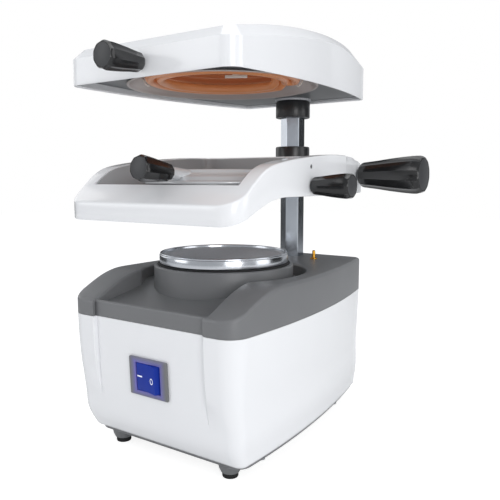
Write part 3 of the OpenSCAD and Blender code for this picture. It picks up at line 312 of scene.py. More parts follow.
class Look(Enum):
    """The finishes of this machine."""

    WHITE = Finish(
        "white_gloss_plastic", linear(243, 244, 246), linear(240, 241, 244), 0.2, 0.03,
        coat=0.5, mottle=9.0, grain=900.0, relief=0.02, depth=0.00003,
    )
    GREY = Finish(
        "grey_satin_plastic", linear(118, 119, 121), linear(112, 113, 115), 0.38, 0.05,
        mottle=25.0, grain=3500.0, relief=0.12, depth=0.00004, specular=0.5,
    )
    LINER = Finish(
        "dark_grey_liner", linear(170, 171, 173), linear(162, 163, 165), 0.4, 0.06,
        mottle=20.0, grain=2500.0, relief=0.12,
    )
    UNDERSIDE = Finish(
        "dark_head_liner", linear(92, 94, 97), linear(80, 82, 85), 0.35, 0.08,
        mottle=12.0, grain=1500.0, relief=0.1,
    )
    CHROME = Finish(
        "polished_chrome", linear(214, 217, 222), linear(204, 208, 214), 0.19, 0.04,
        metal=1.0, mottle=60.0, grain=500.0, relief=0.01,
    )
    COLUMN = Finish(
        "ground_steel_column", linear(196, 201, 208), linear(182, 188, 196), 0.2, 0.1,
        metal=1.0, mottle=30.0, grain=2600.0, grain_stretch=(1.0, 1.0, 0.02), relief=0.08,
    )
    STEEL = Finish(
        "zinc_plated_steel", linear(170, 173, 176), linear(150, 152, 155), 0.32, 0.12,
        metal=1.0, mottle=90.0, grain=1800.0, relief=0.06,
    )
    SCREEN = Finish(
        "woven_steel_screen", linear(190, 193, 198), linear(170, 173, 178), 0.35, 0.15,
        metal=0.3, mottle=300.0, grain=4000.0, relief=0.1,
    )
    CLAMP = Finish(
        "silver_grey_clamp", linear(232, 234, 236), linear(222, 224, 227), 0.25, 0.08,
        metal=0.2, mottle=18.0, grain=1500.0, relief=0.05, coat=0.2,
    )
    BLACK = Finish(
        "black_moulded_plastic", linear(22, 22, 23), linear(28, 29, 30), 0.2, 0.04,
        mottle=60.0, grain=1500.0, relief=0.02, coat=0.1,
    )
    KNOB_END = Finish(
        "knob_end_cap", linear(60, 61, 63), linear(54, 55, 57), 0.45, 0.06,
        mottle=90.0, grain=2200.0, relief=0.08,
    )
    RUBBER = Finish(
        "black_rubber", linear(22, 22, 23), linear(32, 32, 33), 0.8, 0.1,
        mottle=150.0, grain=3000.0, relief=0.25, depth=0.00008,
    )
    BRASS = Finish(
        "turned_brass", linear(214, 160, 62), linear(196, 140, 48), 0.22, 0.08,
        metal=1.0, mottle=120.0, grain=1500.0, grain_stretch=(0.1, 0.1, 1.0), relief=0.06,
    )
    BLUE = Finish(
        "blue_rocker_plastic", linear(26, 56, 156), linear(20, 46, 144), 0.4, 0.05,
        mottle=80.0, grain=1500.0, relief=0.03, specular=0.15,
        glow=linear(40, 60, 190), glow_strength=0.05,
    )
    MARK = Finish(
        "white_marks", linear(235, 238, 245), linear(228, 232, 240), 0.4,
        glow=linear(225, 230, 245), glow_strength=0.25,
    )
    HEATER = Finish(
        "glowing_heater_tube", linear(204, 140, 96), linear(182, 120, 80), 0.3, 0.1,
        mottle=30.0, grain=900.0, relief=0.04,
        glow=linear(172, 104, 60), glow_strength=0.2,
    )
    CERAMIC = Finish(
        "white_ceramic", linear(226, 222, 216), linear(214, 210, 203), 0.5, 0.08,
        mottle=80.0, grain=1600.0, relief=0.1,
    )
    COPPER = Finish(
        "enamelled_copper", linear(176, 96, 52), linear(150, 76, 40), 0.35, 0.1,
        metal=0.8, mottle=200.0, grain=4000.0, relief=0.3,
    )
    COLLAR = Finish(
        "black_turned_collar", linear(34, 35, 37), linear(44, 45, 47), 0.34, 0.08,
        mottle=60.0, grain=900.0, grain_stretch=(0.2, 0.2, 1.0), relief=0.06, coat=0.1,
    )
    BEZEL = Finish(
        "grey_bezel_with_painted_rocker_light", linear(116, 117, 119), linear(110, 111, 113), 0.36, 0.06,
        mottle=60.0, grain=2500.0, relief=0.06,
        # The rocker's violet light round the window is painted into the bezel's colour: painted
        # light.
        painted_rocker_light=(12.4, 11.1, 5.8), painted_rocker_light_colour=linear(112, 108, 184),
    )
    # Painted light: the dish's warm colour and faint glow stand for the heater's orange light
    # reflected in it, not for a tint of the metal.
    REFLECTOR = Finish(
        "reflector_with_painted_coil_glow", linear(206, 146, 106), linear(184, 124, 86), 0.22, 0.08,
        metal=0.5, mottle=18.0, grain=900.0, relief=0.03,
        glow=linear(140, 84, 52), glow_strength=0.2,
    )
    PAN = Finish(
        "reflector_rim", linear(184, 174, 170), linear(172, 162, 158), 0.3, 0.05,
        metal=0.2, mottle=18.0, grain=900.0, relief=0.02,
    )
    HUB = Finish(
        "cast_hub", linear(188, 190, 194), linear(174, 176, 180), 0.4, 0.1,
        metal=0.2, mottle=60.0, grain=1800.0, relief=0.15,
    )

    @property
    def material(self) -> bpy.types.Material:
        """The finish's material, made at its first use."""
        return bpy.data.materials.get(self.value.name) or self.value.build()


# Modelling


class Ends(Enum):
    """What becomes of the ends of a loft."""

    OPEN = "left open"
    CAPPED = "each filled with a flat face"
    CLOSED = "the last ring joins the first"
    STRIP = "rings are open chains"
    CROWN = "each filled crosswise, from the right side to the left"
    LID = "only the last filled crosswise"


OPEN_ENDS = (Ends.OPEN, Ends.CLOSED, Ends.STRIP)
START_R = 0.05
MERGE = 5e-7


class Bench:
    """Modelling with Blender's own edit-mode operators."""

    @staticmethod
    def clear() -> None:
        """Leaves edit mode and deselects everything."""
        if bpy.context.object is not None and bpy.context.object.mode != "OBJECT":
            bpy.ops.object.mode_set(mode="OBJECT")
        bpy.ops.object.select_all(action="DESELECT")

    @staticmethod
    def take(obj: Obj) -> None:
        """Selects one object alone and makes it active.

        Args:
            obj: the object.
        """
        Bench.clear()
        obj.select_set(True)
        bpy.context.view_layer.objects.active = obj

    @staticmethod
    def settle(obj: Obj, name: str) -> Obj:
        """Applies an object's place and turn, so that it sits at the origin.

        Args:
            obj: the object.
            name: its new name.

        Returns:
            The same object.
        """
        Bench.take(obj)
        bpy.ops.object.transform_apply(location=True, rotation=True, scale=True)
        obj.name = name
        obj.data.name = name
        return obj

    @staticmethod
    def place_ring(mesh: bmesh.types.BMesh, ring: Ring, sources: dict[int, int]) -> dict[int, int]:
        """Moves freshly extruded vertices to the points of their ring.

        Args:
            mesh: the mesh being edited.
            ring: the new points in millimetres.
            sources: vertex index to place on the ring, for the loop before.

        Returns:
            The same table for the new loop.
        """
        mesh.verts.index_update()
        fresh: dict[int, int] = {}
        for vertex in mesh.verts:
            if not vertex.select:
                continue
            old = next(
                e.other_vert(vertex).index
                for e in vertex.link_edges
                if e.other_vert(vertex).index in sources
            )
            fresh[vertex.index] = sources[old]
            vertex.co = Vector(ring[sources[old]]) * MM
        return fresh

    @staticmethod
    def loft(name: str, rings: Sequence[Ring], ends: Ends) -> Obj:
        """Extrudes a loop of edges from ring to ring.

        Args:
            name: the piece's name.
            rings: loops with as many points each, in millimetres.
            ends: what becomes of the first and the last ring.

        Returns:
            The new object.
        """
        count = len(rings[0])
        Bench.clear()
        bpy.ops.mesh.primitive_circle_add(vertices=count, radius=START_R)
        obj = bpy.context.object
        bpy.ops.object.mode_set(mode="EDIT")
        mesh = bmesh.from_edit_mesh(obj.data)
        mesh.verts.ensure_lookup_table()
        for vertex, point in zip(mesh.verts, rings[0]):
            vertex.co = Vector(point) * MM
        first = {i: i for i in range(count)}
        if ends is Ends.STRIP:
            Bench.pick_edges(obj, first, {(0, count - 1)})
            bpy.ops.mesh.delete(type="EDGE")
            bpy.ops.mesh.select_all(action="SELECT")
        last = first
        for ring in [*rings[1:], *([rings[0]] if ends is Ends.CLOSED else [])]:
            bpy.ops.mesh.extrude_region_move()
            mesh = bmesh.from_edit_mesh(obj.data)
            last = Bench.place_ring(mesh, ring, last)
        bmesh.update_edit_mesh(obj.data)
        loop = {(i, (i + 1) % count) for i in range(count)}
        middle = {(count - 1, 0), (count // 2 - 1, count // 2)}
        filled = [first] if ends in (Ends.CAPPED, Ends.CROWN) else []
        for table in [*filled, *([] if ends in OPEN_ENDS else [last])]:
            if ends is Ends.CAPPED:
                Bench.pick_edges(obj, table, loop)
                bpy.ops.mesh.edge_face_add()
            else:
                Bench.pick_edges(obj, table, loop - middle)
                bpy.ops.mesh.bridge_edge_loops()
        bpy.ops.mesh.select_all(action="SELECT")
        bpy.ops.mesh.remove_doubles(threshold=MERGE)
        bpy.ops.mesh.normals_make_consistent(inside=False)
        bpy.ops.object.mode_set(mode="OBJECT")
        return Bench.settle(obj, name)

    @staticmethod
    def pick_edges(obj: Obj, table: dict[int, int], wanted: set[tuple[int, int]]) -> None:
        """Selects the edges of one ring.

        Args:
            obj: the object, in edit mode.
            table: vertex index to place on the ring.
            wanted: the pairs of places that the edges join.
        """
        bpy.ops.mesh.select_all(action="DESELECT")
        mesh = bmesh.from_edit_mesh(obj.data)
        pairs = wanted | {(b, a) for a, b in wanted}
        for edge in mesh.edges:
            a, b = (table.get(v.index) for v in edge.verts)
            if (a, b) in pairs:
                edge.select_set(True)
        bmesh.update_edit_mesh(obj.data)

    @staticmethod
    def lathe(
        name: str,
        profile: Sequence[Spot],
        centre: Spot = (0.0, 0.0),
        steps: int = 96,
    ) -> Obj:
        """Turns a profile round an upright axis.

        Args:
            name: the piece's name.
            profile: radius and height of each point, from axis to axis or all the way round.
            centre: the axis in plan.
            steps: points round the axis.

        Returns:
            The new object.
        """
        rings = [
            [
                (
                    centre[0] + r * math.cos(math.tau * k / steps),
                    centre[1] + r * math.sin(math.tau * k / steps),
                    z,
                )
                for k in range(steps)
            ]
            for r, z in profile
        ]
        solid = profile[0][0] < 0.001 and profile[-1][0] < 0.001
        return Bench.loft(name, rings, Ends.OPEN if solid else Ends.CLOSED)

    @staticmethod
    def peg(
        name: str,
        radius: float,
        low: float,
        high: float,
        centre: Spot = (0.0, 0.0),
        steps: int = 32,
    ) -> Obj:
        """An upright cylinder.

        Args:
            name: the piece's name.
            radius: its radius.
            low: height of its lower end.
            high: height of its upper end.
            centre: its axis in plan.
            steps: points round it.

        Returns:
            The new object.
        """
        profile = [(0.0, low), (radius, low), (radius, high), (0.0, high)]
        return Bench.lathe(name, profile, centre, steps)

    @staticmethod
    def sweep(name: str, path: Sequence[Point], radius: float, sides: int = 12) -> Obj:
        """A round bar along a path.

        Args:
            name: the piece's name.
            path: points of its middle line, in millimetres.
            radius: its radius.
            sides: points round it.

        Returns:
            The new object.
        """
        points = [Vector(p) for p in path]
        rings: list[Ring] = []
        across: Optional[Vector] = None
        for i, point in enumerate(points):
            ahead = (points[min(i + 1, len(points) - 1)] - points[max(i - 1, 0)]).normalized()
            if across is None:
                across = ahead.orthogonal()
            across = (across - ahead * across.dot(ahead)).normalized()
            other = ahead.cross(across)
            rings.append(
                [
                    tuple(
                        point
                        + across * radius * math.cos(math.tau * k / sides)
                        + other * radius * math.sin(math.tau * k / sides)
                    )
                    for k in range(sides)
                ]
            )
        return Bench.loft(name, rings, Ends.CAPPED)

    @staticmethod
    def box(name: str, low: Point, high: Point, bevel: float = 0.0, segments: int = 3) -> Obj:
        """A box with rounded edges.

        Args:
            name: the piece's name.
            low: its lowest corner.
            high: its highest corner.
            bevel: width of the rounded edges.
            segments: facets of a rounded edge.

        Returns:
            The new object.
        """
        Bench.clear()
        bpy.ops.mesh.primitive_cube_add(size=1.0)
        obj = bpy.context.object
        bpy.ops.object.mode_set(mode="EDIT")
        size = [(b - a) * MM for a, b in zip(low, high)]
        bpy.ops.transform.resize(value=size)
        bpy.ops.transform.translate(value=[(a + b) / 2 * MM for a, b in zip(low, high)])
        if bevel:
            bpy.ops.mesh.bevel(offset=bevel * MM, segments=segments, affect="EDGES")
        bpy.ops.object.mode_set(mode="OBJECT")
        return Bench.settle(obj, name)

    @staticmethod
    def modify(obj: Obj, kind: str, **settings: object) -> Obj:
        """Adds a modifier and applies it.

        Args:
            obj: the object.
            kind: the modifier's type.
            settings: its properties.

        Returns:
            The same object.
        """
        Bench.take(obj)
        made = obj.modifiers.new(kind.lower(), kind)
        for key, value in settings.items():
            setattr(made, key, value)
        bpy.ops.object.modifier_apply(modifier=made.name)
        return obj

    @staticmethod
    def round_edges(obj: Obj, width: float, segments: int = 3, angle: float = 35.0) -> Obj:
        """Rounds the edges that are sharper than an angle.

        Args:
            obj: the object.
            width: width of a rounded edge, in millimetres.
            segments: facets of a rounded edge.
            angle: the angle in degrees.

        Returns:
            The same object.
        """
        return Bench.modify(
            obj, "BEVEL", width=width * MM, segments=segments, limit_method="ANGLE",
            angle_limit=math.radians(angle), use_clamp_overlap=True,
        )

    @staticmethod
    def cut(obj: Obj, tool: Obj) -> Obj:
        """Cuts an object with another, which is used up.

        Args:
            obj: the object.
            tool: the solid that cuts it.

        Returns:
            The same object.
        """
        Bench.modify(obj, "BOOLEAN", object=tool, operation="DIFFERENCE", solver="EXACT")
        bpy.data.objects.remove(tool)
        return obj

    @staticmethod
    def join(name: str, parts: Sequence[Obj]) -> Obj:
        """Joins parts into one piece.

        Args:
            name: the piece's name.
            parts: the parts, of which the first one is kept.

        Returns:
            The piece.
        """
        Bench.take(parts[0])
        for part in parts:
            part.select_set(True)
        bpy.ops.object.join()
        return Bench.settle(parts[0], name)

    @staticmethod
    def turn(obj: Obj, matrix: Matrix) -> Obj:
        """Moves an object's mesh.

        Args:
            obj: the object.
            matrix: how it moves, in metres.

        Returns:
            The same object.
        """
        obj.data.transform(matrix)
        obj.data.update()
        return obj

    @staticmethod
    def smooth(obj: Obj, angle: float) -> None:
        """Shades an object smooth where its faces meet below an angle in degrees."""
        Bench.take(obj)
        bpy.ops.object.shade_smooth_by_angle(angle=math.radians(angle))


@dataclass
class Shop:
    """Dresses pieces and puts them on their bodies."""

    frame: dict[str, object]
    weld: float = 0.002
    sharp: float = 40.0
    done: list[str] = field(default_factory=list)

    def slot_of(self, node: str) -> str:
        """The material slot that the record gives a node."""
        subparts = self.frame["record"]["subparts"]
        return next(part["material_slot"] for part in subparts if part["node"] == node)

    def finish(
        self,
        obj: Obj,
        body: str,
        look: Look,
        nodes: Sequence[str],
        angle: float = 35.0,
        stands_for: bool = True,
    ) -> Obj:
        """Gives a new piece its finish and its body.

        Args:
            obj: the piece.
            body: the body that it rides on.
            look: its finish.
            nodes: CAD nodes that it stands for; the first one's slot is looked up in the record but
                not kept.
            angle: smooth shading below this angle.
            stands_for: whether it replaces the nodes, or is only part of them.

        Returns:
            The same piece.
        """
        Bench.smooth(obj, angle)
        obj.data.materials.clear()
        obj.data.materials.append(look.material)
        self.slot_of(nodes[0])
        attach(obj, body)
        if stands_for:
            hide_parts(*nodes)
        self.done.append(obj.name)
        LOG.info("%s on %s, %d faces", obj.name, body, len(obj.data.polygons))
        return obj

    def dress(self, node: str, look: Look, bevel: float = 0.0) -> None:
        """Gives a CAD node its finish, its mesh unchanged.

        Args:
            node: the node's name.
            look: its finish.
            bevel: width of its rounded edges, which a modifier makes.
        """
        obj = self.frame["nodes"][node]
        obj.data.materials.clear()
        obj.data.materials.append(look.material)
        weld = obj.modifiers.new("weld", "WELD")
        weld.merge_threshold = self.weld * MM
        if bevel:
            rounded = obj.modifiers.new("bevel", "BEVEL")
            rounded.width = bevel * MM
            rounded.segments = 2
            rounded.limit_method = "ANGLE"
            rounded.angle_limit = math.radians(self.sharp)
        self.done.append(node)


# Outlines


def placed(at: Point, turn: float = 0.0, axis: str = "Y") -> Matrix:
    """Matrix that turns about an axis, in radians, and moves to a point in millimetres."""
    return Matrix.Translation([c * MM for c in at]) @ Matrix.Rotation(turn, 4, axis)


def quarter(steps: int, first: int = 0) -> list[float]:
    """Angles of a quarter turn in even steps, from the first step on."""
    return [QUARTER * i / steps for i in range(first, steps + 1)]


def held(value: float, low: float = 0.0, high: float = 1.0) -> float:
    """Value held between two limits."""
    return min(max(value, low), high)


def hump(share: float) -> float:
    """Smooth rise and fall, which is 0 at shares of 0 and 1 and is 1 between them."""
    return math.sin(math.pi * held(share)) ** 2


def corner_in(radius: float, depth: float) -> float:
    """How far a rounded corner draws in at a depth from its end."""
    d = radius - held(depth, 0.0, radius)
    return radius - math.sqrt(max(0.0, radius * radius - d * d))


def smooth_at(points: Sequence[Spot], x: float) -> float:
    """Height of a smooth curve at a distance.

    Args:
        points: distance and height of the points that the curve passes.
        x: the distance.

    Returns:
        The height.
    """

    def slope(i: int) -> float:
        """Slope of the curve at a point."""
        a, b = points[max(i - 1, 0)], points[min(i + 1, len(points) - 1)]
        return (b[1] - a[1]) / (b[0] - a[0])

    i = max(k for k in range(len(points) - 1) if k == 0 or x >= points[k][0])
    (x0, y0), (x1, y1) = points[i], points[i + 1]
    h = x1 - x0
    t = held((x - x0) / h)
    return (
        y0 * (1 - 3 * t * t + 2 * t**3)
        + y1 * (3 * t * t - 2 * t**3)
        + slope(i) * h * (t - 2 * t * t + t**3)
        + slope(i + 1) * h * (t**3 - t * t)
    )


def normals(points: Sequence[Spot]) -> list[Spot]:
    """Unit normals of a path, to the right of its direction.

    Args:
        points: the path's points.

    Returns:
        A normal for each point.
    """
    found = []
    for i in range(len(points)):
        a, b = points[max(i - 1, 0)], points[min(i + 1, len(points) - 1)]
        dx, dy = b[0] - a[0], b[1] - a[1]
        length = math.hypot(dx, dy) or 1.0
        found.append((dy / length, -dx / length))
    return found


@dataclass(frozen=True)
class Plan:
    """Plan outline with bowed sides and rounded corners, in millimetres."""

    half: float
    front: float
    rear: float
    front_r: float
    rear_r: float
    bow: float = 0.0
    widest: float = -25.0
    bow_len: float = 150.0

    def side(self, y: float) -> float:
        """Half width of the bowed side at a position."""
        return self.half - self.bow * ((y - self.widest) / self.bow_len) ** 2

    def drawn_in(self, sides: float, ends: Optional[float] = None) -> "Plan":
        """Draws the plan in.

        Args:
            sides: how far its sides move in.
            ends: how far its front and rear move in, which is as far unless given.

        Returns:
            The smaller plan.
        """
        by = sides if ends is None else ends
        return replace(
            self,
            half=self.half - sides,
            front=self.front + by,
            rear=self.rear - by,
            front_r=max(self.front_r - sides, 0.6),
            rear_r=max(self.rear_r - sides, 0.6),
        )

    def right(
        self,
        front_flat: Sequence[Spot] = (),
        corner: int = 12,
        along: int = 20,
        stops: Optional[Sequence[float]] = None,
    ) -> list[Spot]:
        """Points of the right side, from the front to the rear.

        Args:
            front_flat: points of the flat front before the corner.
            corner: steps round a corner.
            along: steps along the side.
            stops: positions along the side, instead of even steps.

        Returns:
            The points, without those of the flat rear.
        """
        points = list(front_flat)
        begin, end = self.front + self.front_r, self.rear - self.rear_r
        for a in quarter(corner):
            x = self.side(begin) - self.front_r * (1 - math.sin(a))
            points.append((x, begin - self.front_r * math.cos(a)))
        for y in stops or [begin + (end - begin) * i / along for i in range(1, along)]:
            points.append((self.side(y), y))
        for a in quarter(corner):
            x = self.side(end) - self.rear_r * (1 - math.cos(a))
            points.append((x, end + self.rear_r * math.sin(a)))
        return points


def both_sides(right: Sequence[Spot], height: Callable[[float], float]) -> Ring:
    """Closed ring from the points of its right side and a height over the length."""
    points = [(x, y, height(y)) for x, y in right]
    return points + [(-x, y, z) for x, y, z in reversed(points) if x > 1e-6]


def hexagon(across: float, centre: Spot, z: float, edge: float = 0.0) -> Ring:
    """Hexagon with two flats that face the sides.

    Args:
        across: its width over those flats.
        centre: its middle in plan.
        z: its height.
        edge: how far its corners are cut off, along each flat.

    Returns:
        The closed outline.
    """
    radius = across / math.sqrt(3)
    corners = [
        Vector((radius * math.cos(a), radius * math.sin(a)))
        for a in (math.radians(60 * k + 30) for k in range(6))
    ]
    points: Ring = []
    for k, corner in enumerate(corners):
        for other in (corners[k - 1], corners[(k + 1) % 6]) if edge else (corner,):
            at = corner + (other - corner).normalized() * edge
            points.append((centre[0] + at.x, centre[1] + at.y, z))
    return points


class Rails:
    """The S-curve that the cover's rails and the carriage share."""

    FRONT = -98.5
    REAR = 138.0
    LIP = 125.5
    DECK = 143.5
    RUN = 60.0
    GAP = 63.5
    PLAN = Plan(86.0, FRONT, REAR, 16.5, 8.0, bow=17.8)

    @staticmethod
    def height(y: float) -> float:
        """Height of the rails over the length."""
        t = held((y - Rails.FRONT) / Rails.RUN)
        return Rails.LIP + (Rails.DECK - Rails.LIP) * (1 - math.cos(math.pi * t**0.72)) / 2


# Sub-assemblies


@dataclass
class Base:
    """White shell on its feet, with the leaning front panel and its openings."""

    shop: Shop
    low: float = 14.0
    seam: float = 112.8
    top: float = 113.0
    wall: float = 2.5
    side_in: float = 7.6
    side_bulge: float = 1.6
    front_in: float = 17.0
    front_bulge: float = 2.4
    panel_half: float = 55.0
    panel_top_y: float = -95.3
    crease: float = 0.9
    fade_z: float = 48.0
    window: Spot = (14.7, 12.6)
    slots: tuple[float, ...] = (64.0, 72.0, 80.0, 88.0, 96.0)
    feet_at: tuple[Spot, ...] = ((-56.0, -68.0), (56.0, -68.0), (-40.0, 96.0), (40.0, 96.0))
    fade_y: float = field(init=False)
    lean: float = field(init=False)

    def __post_init__(self) -> None:
        """Works out where the panel's recess fades and how far it leans."""
        self.fade_y = self.front(self.fade_z)
        self.lean = math.atan((self.fade_y - self.panel_top_y) / (self.top - self.fade_z))

    def below(self, z: float) -> float:
        """How far a height lies below the shell's top, as a share of the shell."""
        return (self.top - z) / (self.top - self.low)

    def front(self, z: float) -> float:
        """Position of the shell's front, which is upright above and drawn in below.

        Args:
            z: the height.

        Returns:
            The position.
        """
        u = max(self.below(z), 0.0)
        bulge = self.front_bulge * hump((u - 0.657) / 0.343)
        return Rails.FRONT + self.front_in * u**2.4 - bulge

    def panel_share(self, z: float) -> float:
        """How far up the leaning panel a height lies, from 0 where its recess fades."""
        return (z - self.fade_z) / (self.top - self.fade_z)

    def panel_y(self, z: float) -> float:
        """Position of the leaning panel at a height."""
        return self.fade_y + (self.panel_top_y - self.fade_y) * self.panel_share(z)

    def on_panel(self) -> Matrix:
        """Matrix from the switch's own frame to the machine's, in metres."""
        return placed((0.0, self.panel_y(SWITCH_Z), SWITCH_Z), QUARTER + self.lean, "X")

    def ring(self, z: float, inset: float = 0.0) -> Ring:
        """Outline of the shell at a height, with the front panel's recess.

        Args:
            z: the height.
            inset: how far the outline is drawn in.

        Returns:
            The closed outline.
        """
        u = self.below(z)
        plan = replace(
            Rails.PLAN,
            half=Rails.PLAN.half - self.side_in * u + self.side_bulge * hump(2.0 * u - 1.0),
            front=self.front(z),
            rear=Rails.REAR - 2.0 * u,
            front_r=Rails.PLAN.front_r - 8.5 * u,
            bow=Rails.PLAN.bow - 3.8 * u,
        ).drawn_in(inset)
        y, edge, share, deep = plan.front, self.panel_half, 0.0, 0.0
        if z > self.fade_z:
            share = self.panel_share(z)
            deep = self.panel_y(z) - y
        groove = self.crease * math.sqrt(max(4.0 * share * (1.0 - share), 0.0))
        flat = [(x, y + deep) for x in (0.0, 18.0, 36.0, 50.0, edge - 1.1)]
        flat += [(edge - 0.4, y + deep + groove), (edge + 0.1, y + 0.15 * deep), (edge + 0.6, y)]
        right = plan.right(flat, corner=12, along=18)
        end = right[-1][0]
        right += [(end * 0.6, plan.rear), (end * 0.2, plan.rear)]
        return both_sides(right, lambda _: z)

    def shell(self) -> None:
        """Models the shell and cuts its openings."""
        rounding = ((0.0, 3.2), (0.5, 2.0), (1.3, 1.0), (2.4, 0.3), (4.0, 0.0))
        heights = [20.5, 24.0, 29.0, 34.0, 38.0, 42.0, 48.0, 54.0]
        heights += [62.0, 72.0, 82.0, 92.0, 102.0, 109.0, self.seam]
        rings = [self.ring(self.low + up, inset) for up, inset in rounding]
        rings += [self.ring(z) for z in heights]
        shell = Bench.loft("shell_body", rings, Ends.OPEN)
        Bench.modify(
            shell, "SOLIDIFY", thickness=self.wall * MM, offset=-1.0, use_even_offset=True
        )
        x, y = self.window
        window = Bench.box("window", (-x, -y, -12.0), (x, y, 12.0))
        cuts = [Bench.turn(window, self.on_panel())]
        cuts.append(Bench.box("inlet", (-47.8, 125.0, 31.7), (-20.2, 145.0, 52.3)))
        for z in self.slots:
            cuts.append(Bench.box("slot", (-30.0, 128.0, z), (30.0, 145.0, z + 3.0), 1.2))
        for tool in cuts:
            Bench.cut(shell, tool)
        self.shop.finish(shell, "base", Look.WHITE, ["base_shell"])

    def feet(self) -> None:
        """Four turned feet with rubber pads."""
        cup = [(0.0, 11.4), (9.1, 11.4), (9.2, 10.7), (8.6, 7.6), (7.4, 5.0)]
        cup += [(7.0, 4.2), (6.4, 4.0), (0.0, 4.0)]
        pad = [(0.0, 4.4), (6.1, 4.4), (6.1, 1.0), (5.8, 0.3), (5.1, 0.0), (0.0, 0.0)]
        for name, profile, look, node in (
            ("foot_cups", cup, Look.GREY, "feet"),
            ("foot_rubbers", pad, Look.RUBBER, "foot_pads"),
        ):
            turned = [Bench.lathe(name, profile, at, 48) for at in self.feet_at]
            self.shop.finish(Bench.join(name, turned), "base", look, [node])

    def bottom(self) -> None:
        """The bottom plate, drawn in below the shell."""
        plan = Plan(78.4, self.front(self.low), 136.0, 14.0, 8.0, bow=14.0)
        rings = []
        for z, inset in ((11.4, 5.0), (11.5, 4.0), (12.0, 3.0), (12.8, 2.6), (14.6, 2.5)):
            right = plan.drawn_in(inset).right(corner=12, along=18)
            rings.append(both_sides(right, lambda _: z))
        plate = Bench.loft("base_plate", rings, Ends.CAPPED)
        self.shop.finish(plate, "base", Look.GREY, ["bottom_plate"], 40)

    def build(self) -> None:
        """Builds the base's pieces."""
        self.shell()
        self.feet()
        self.bottom()


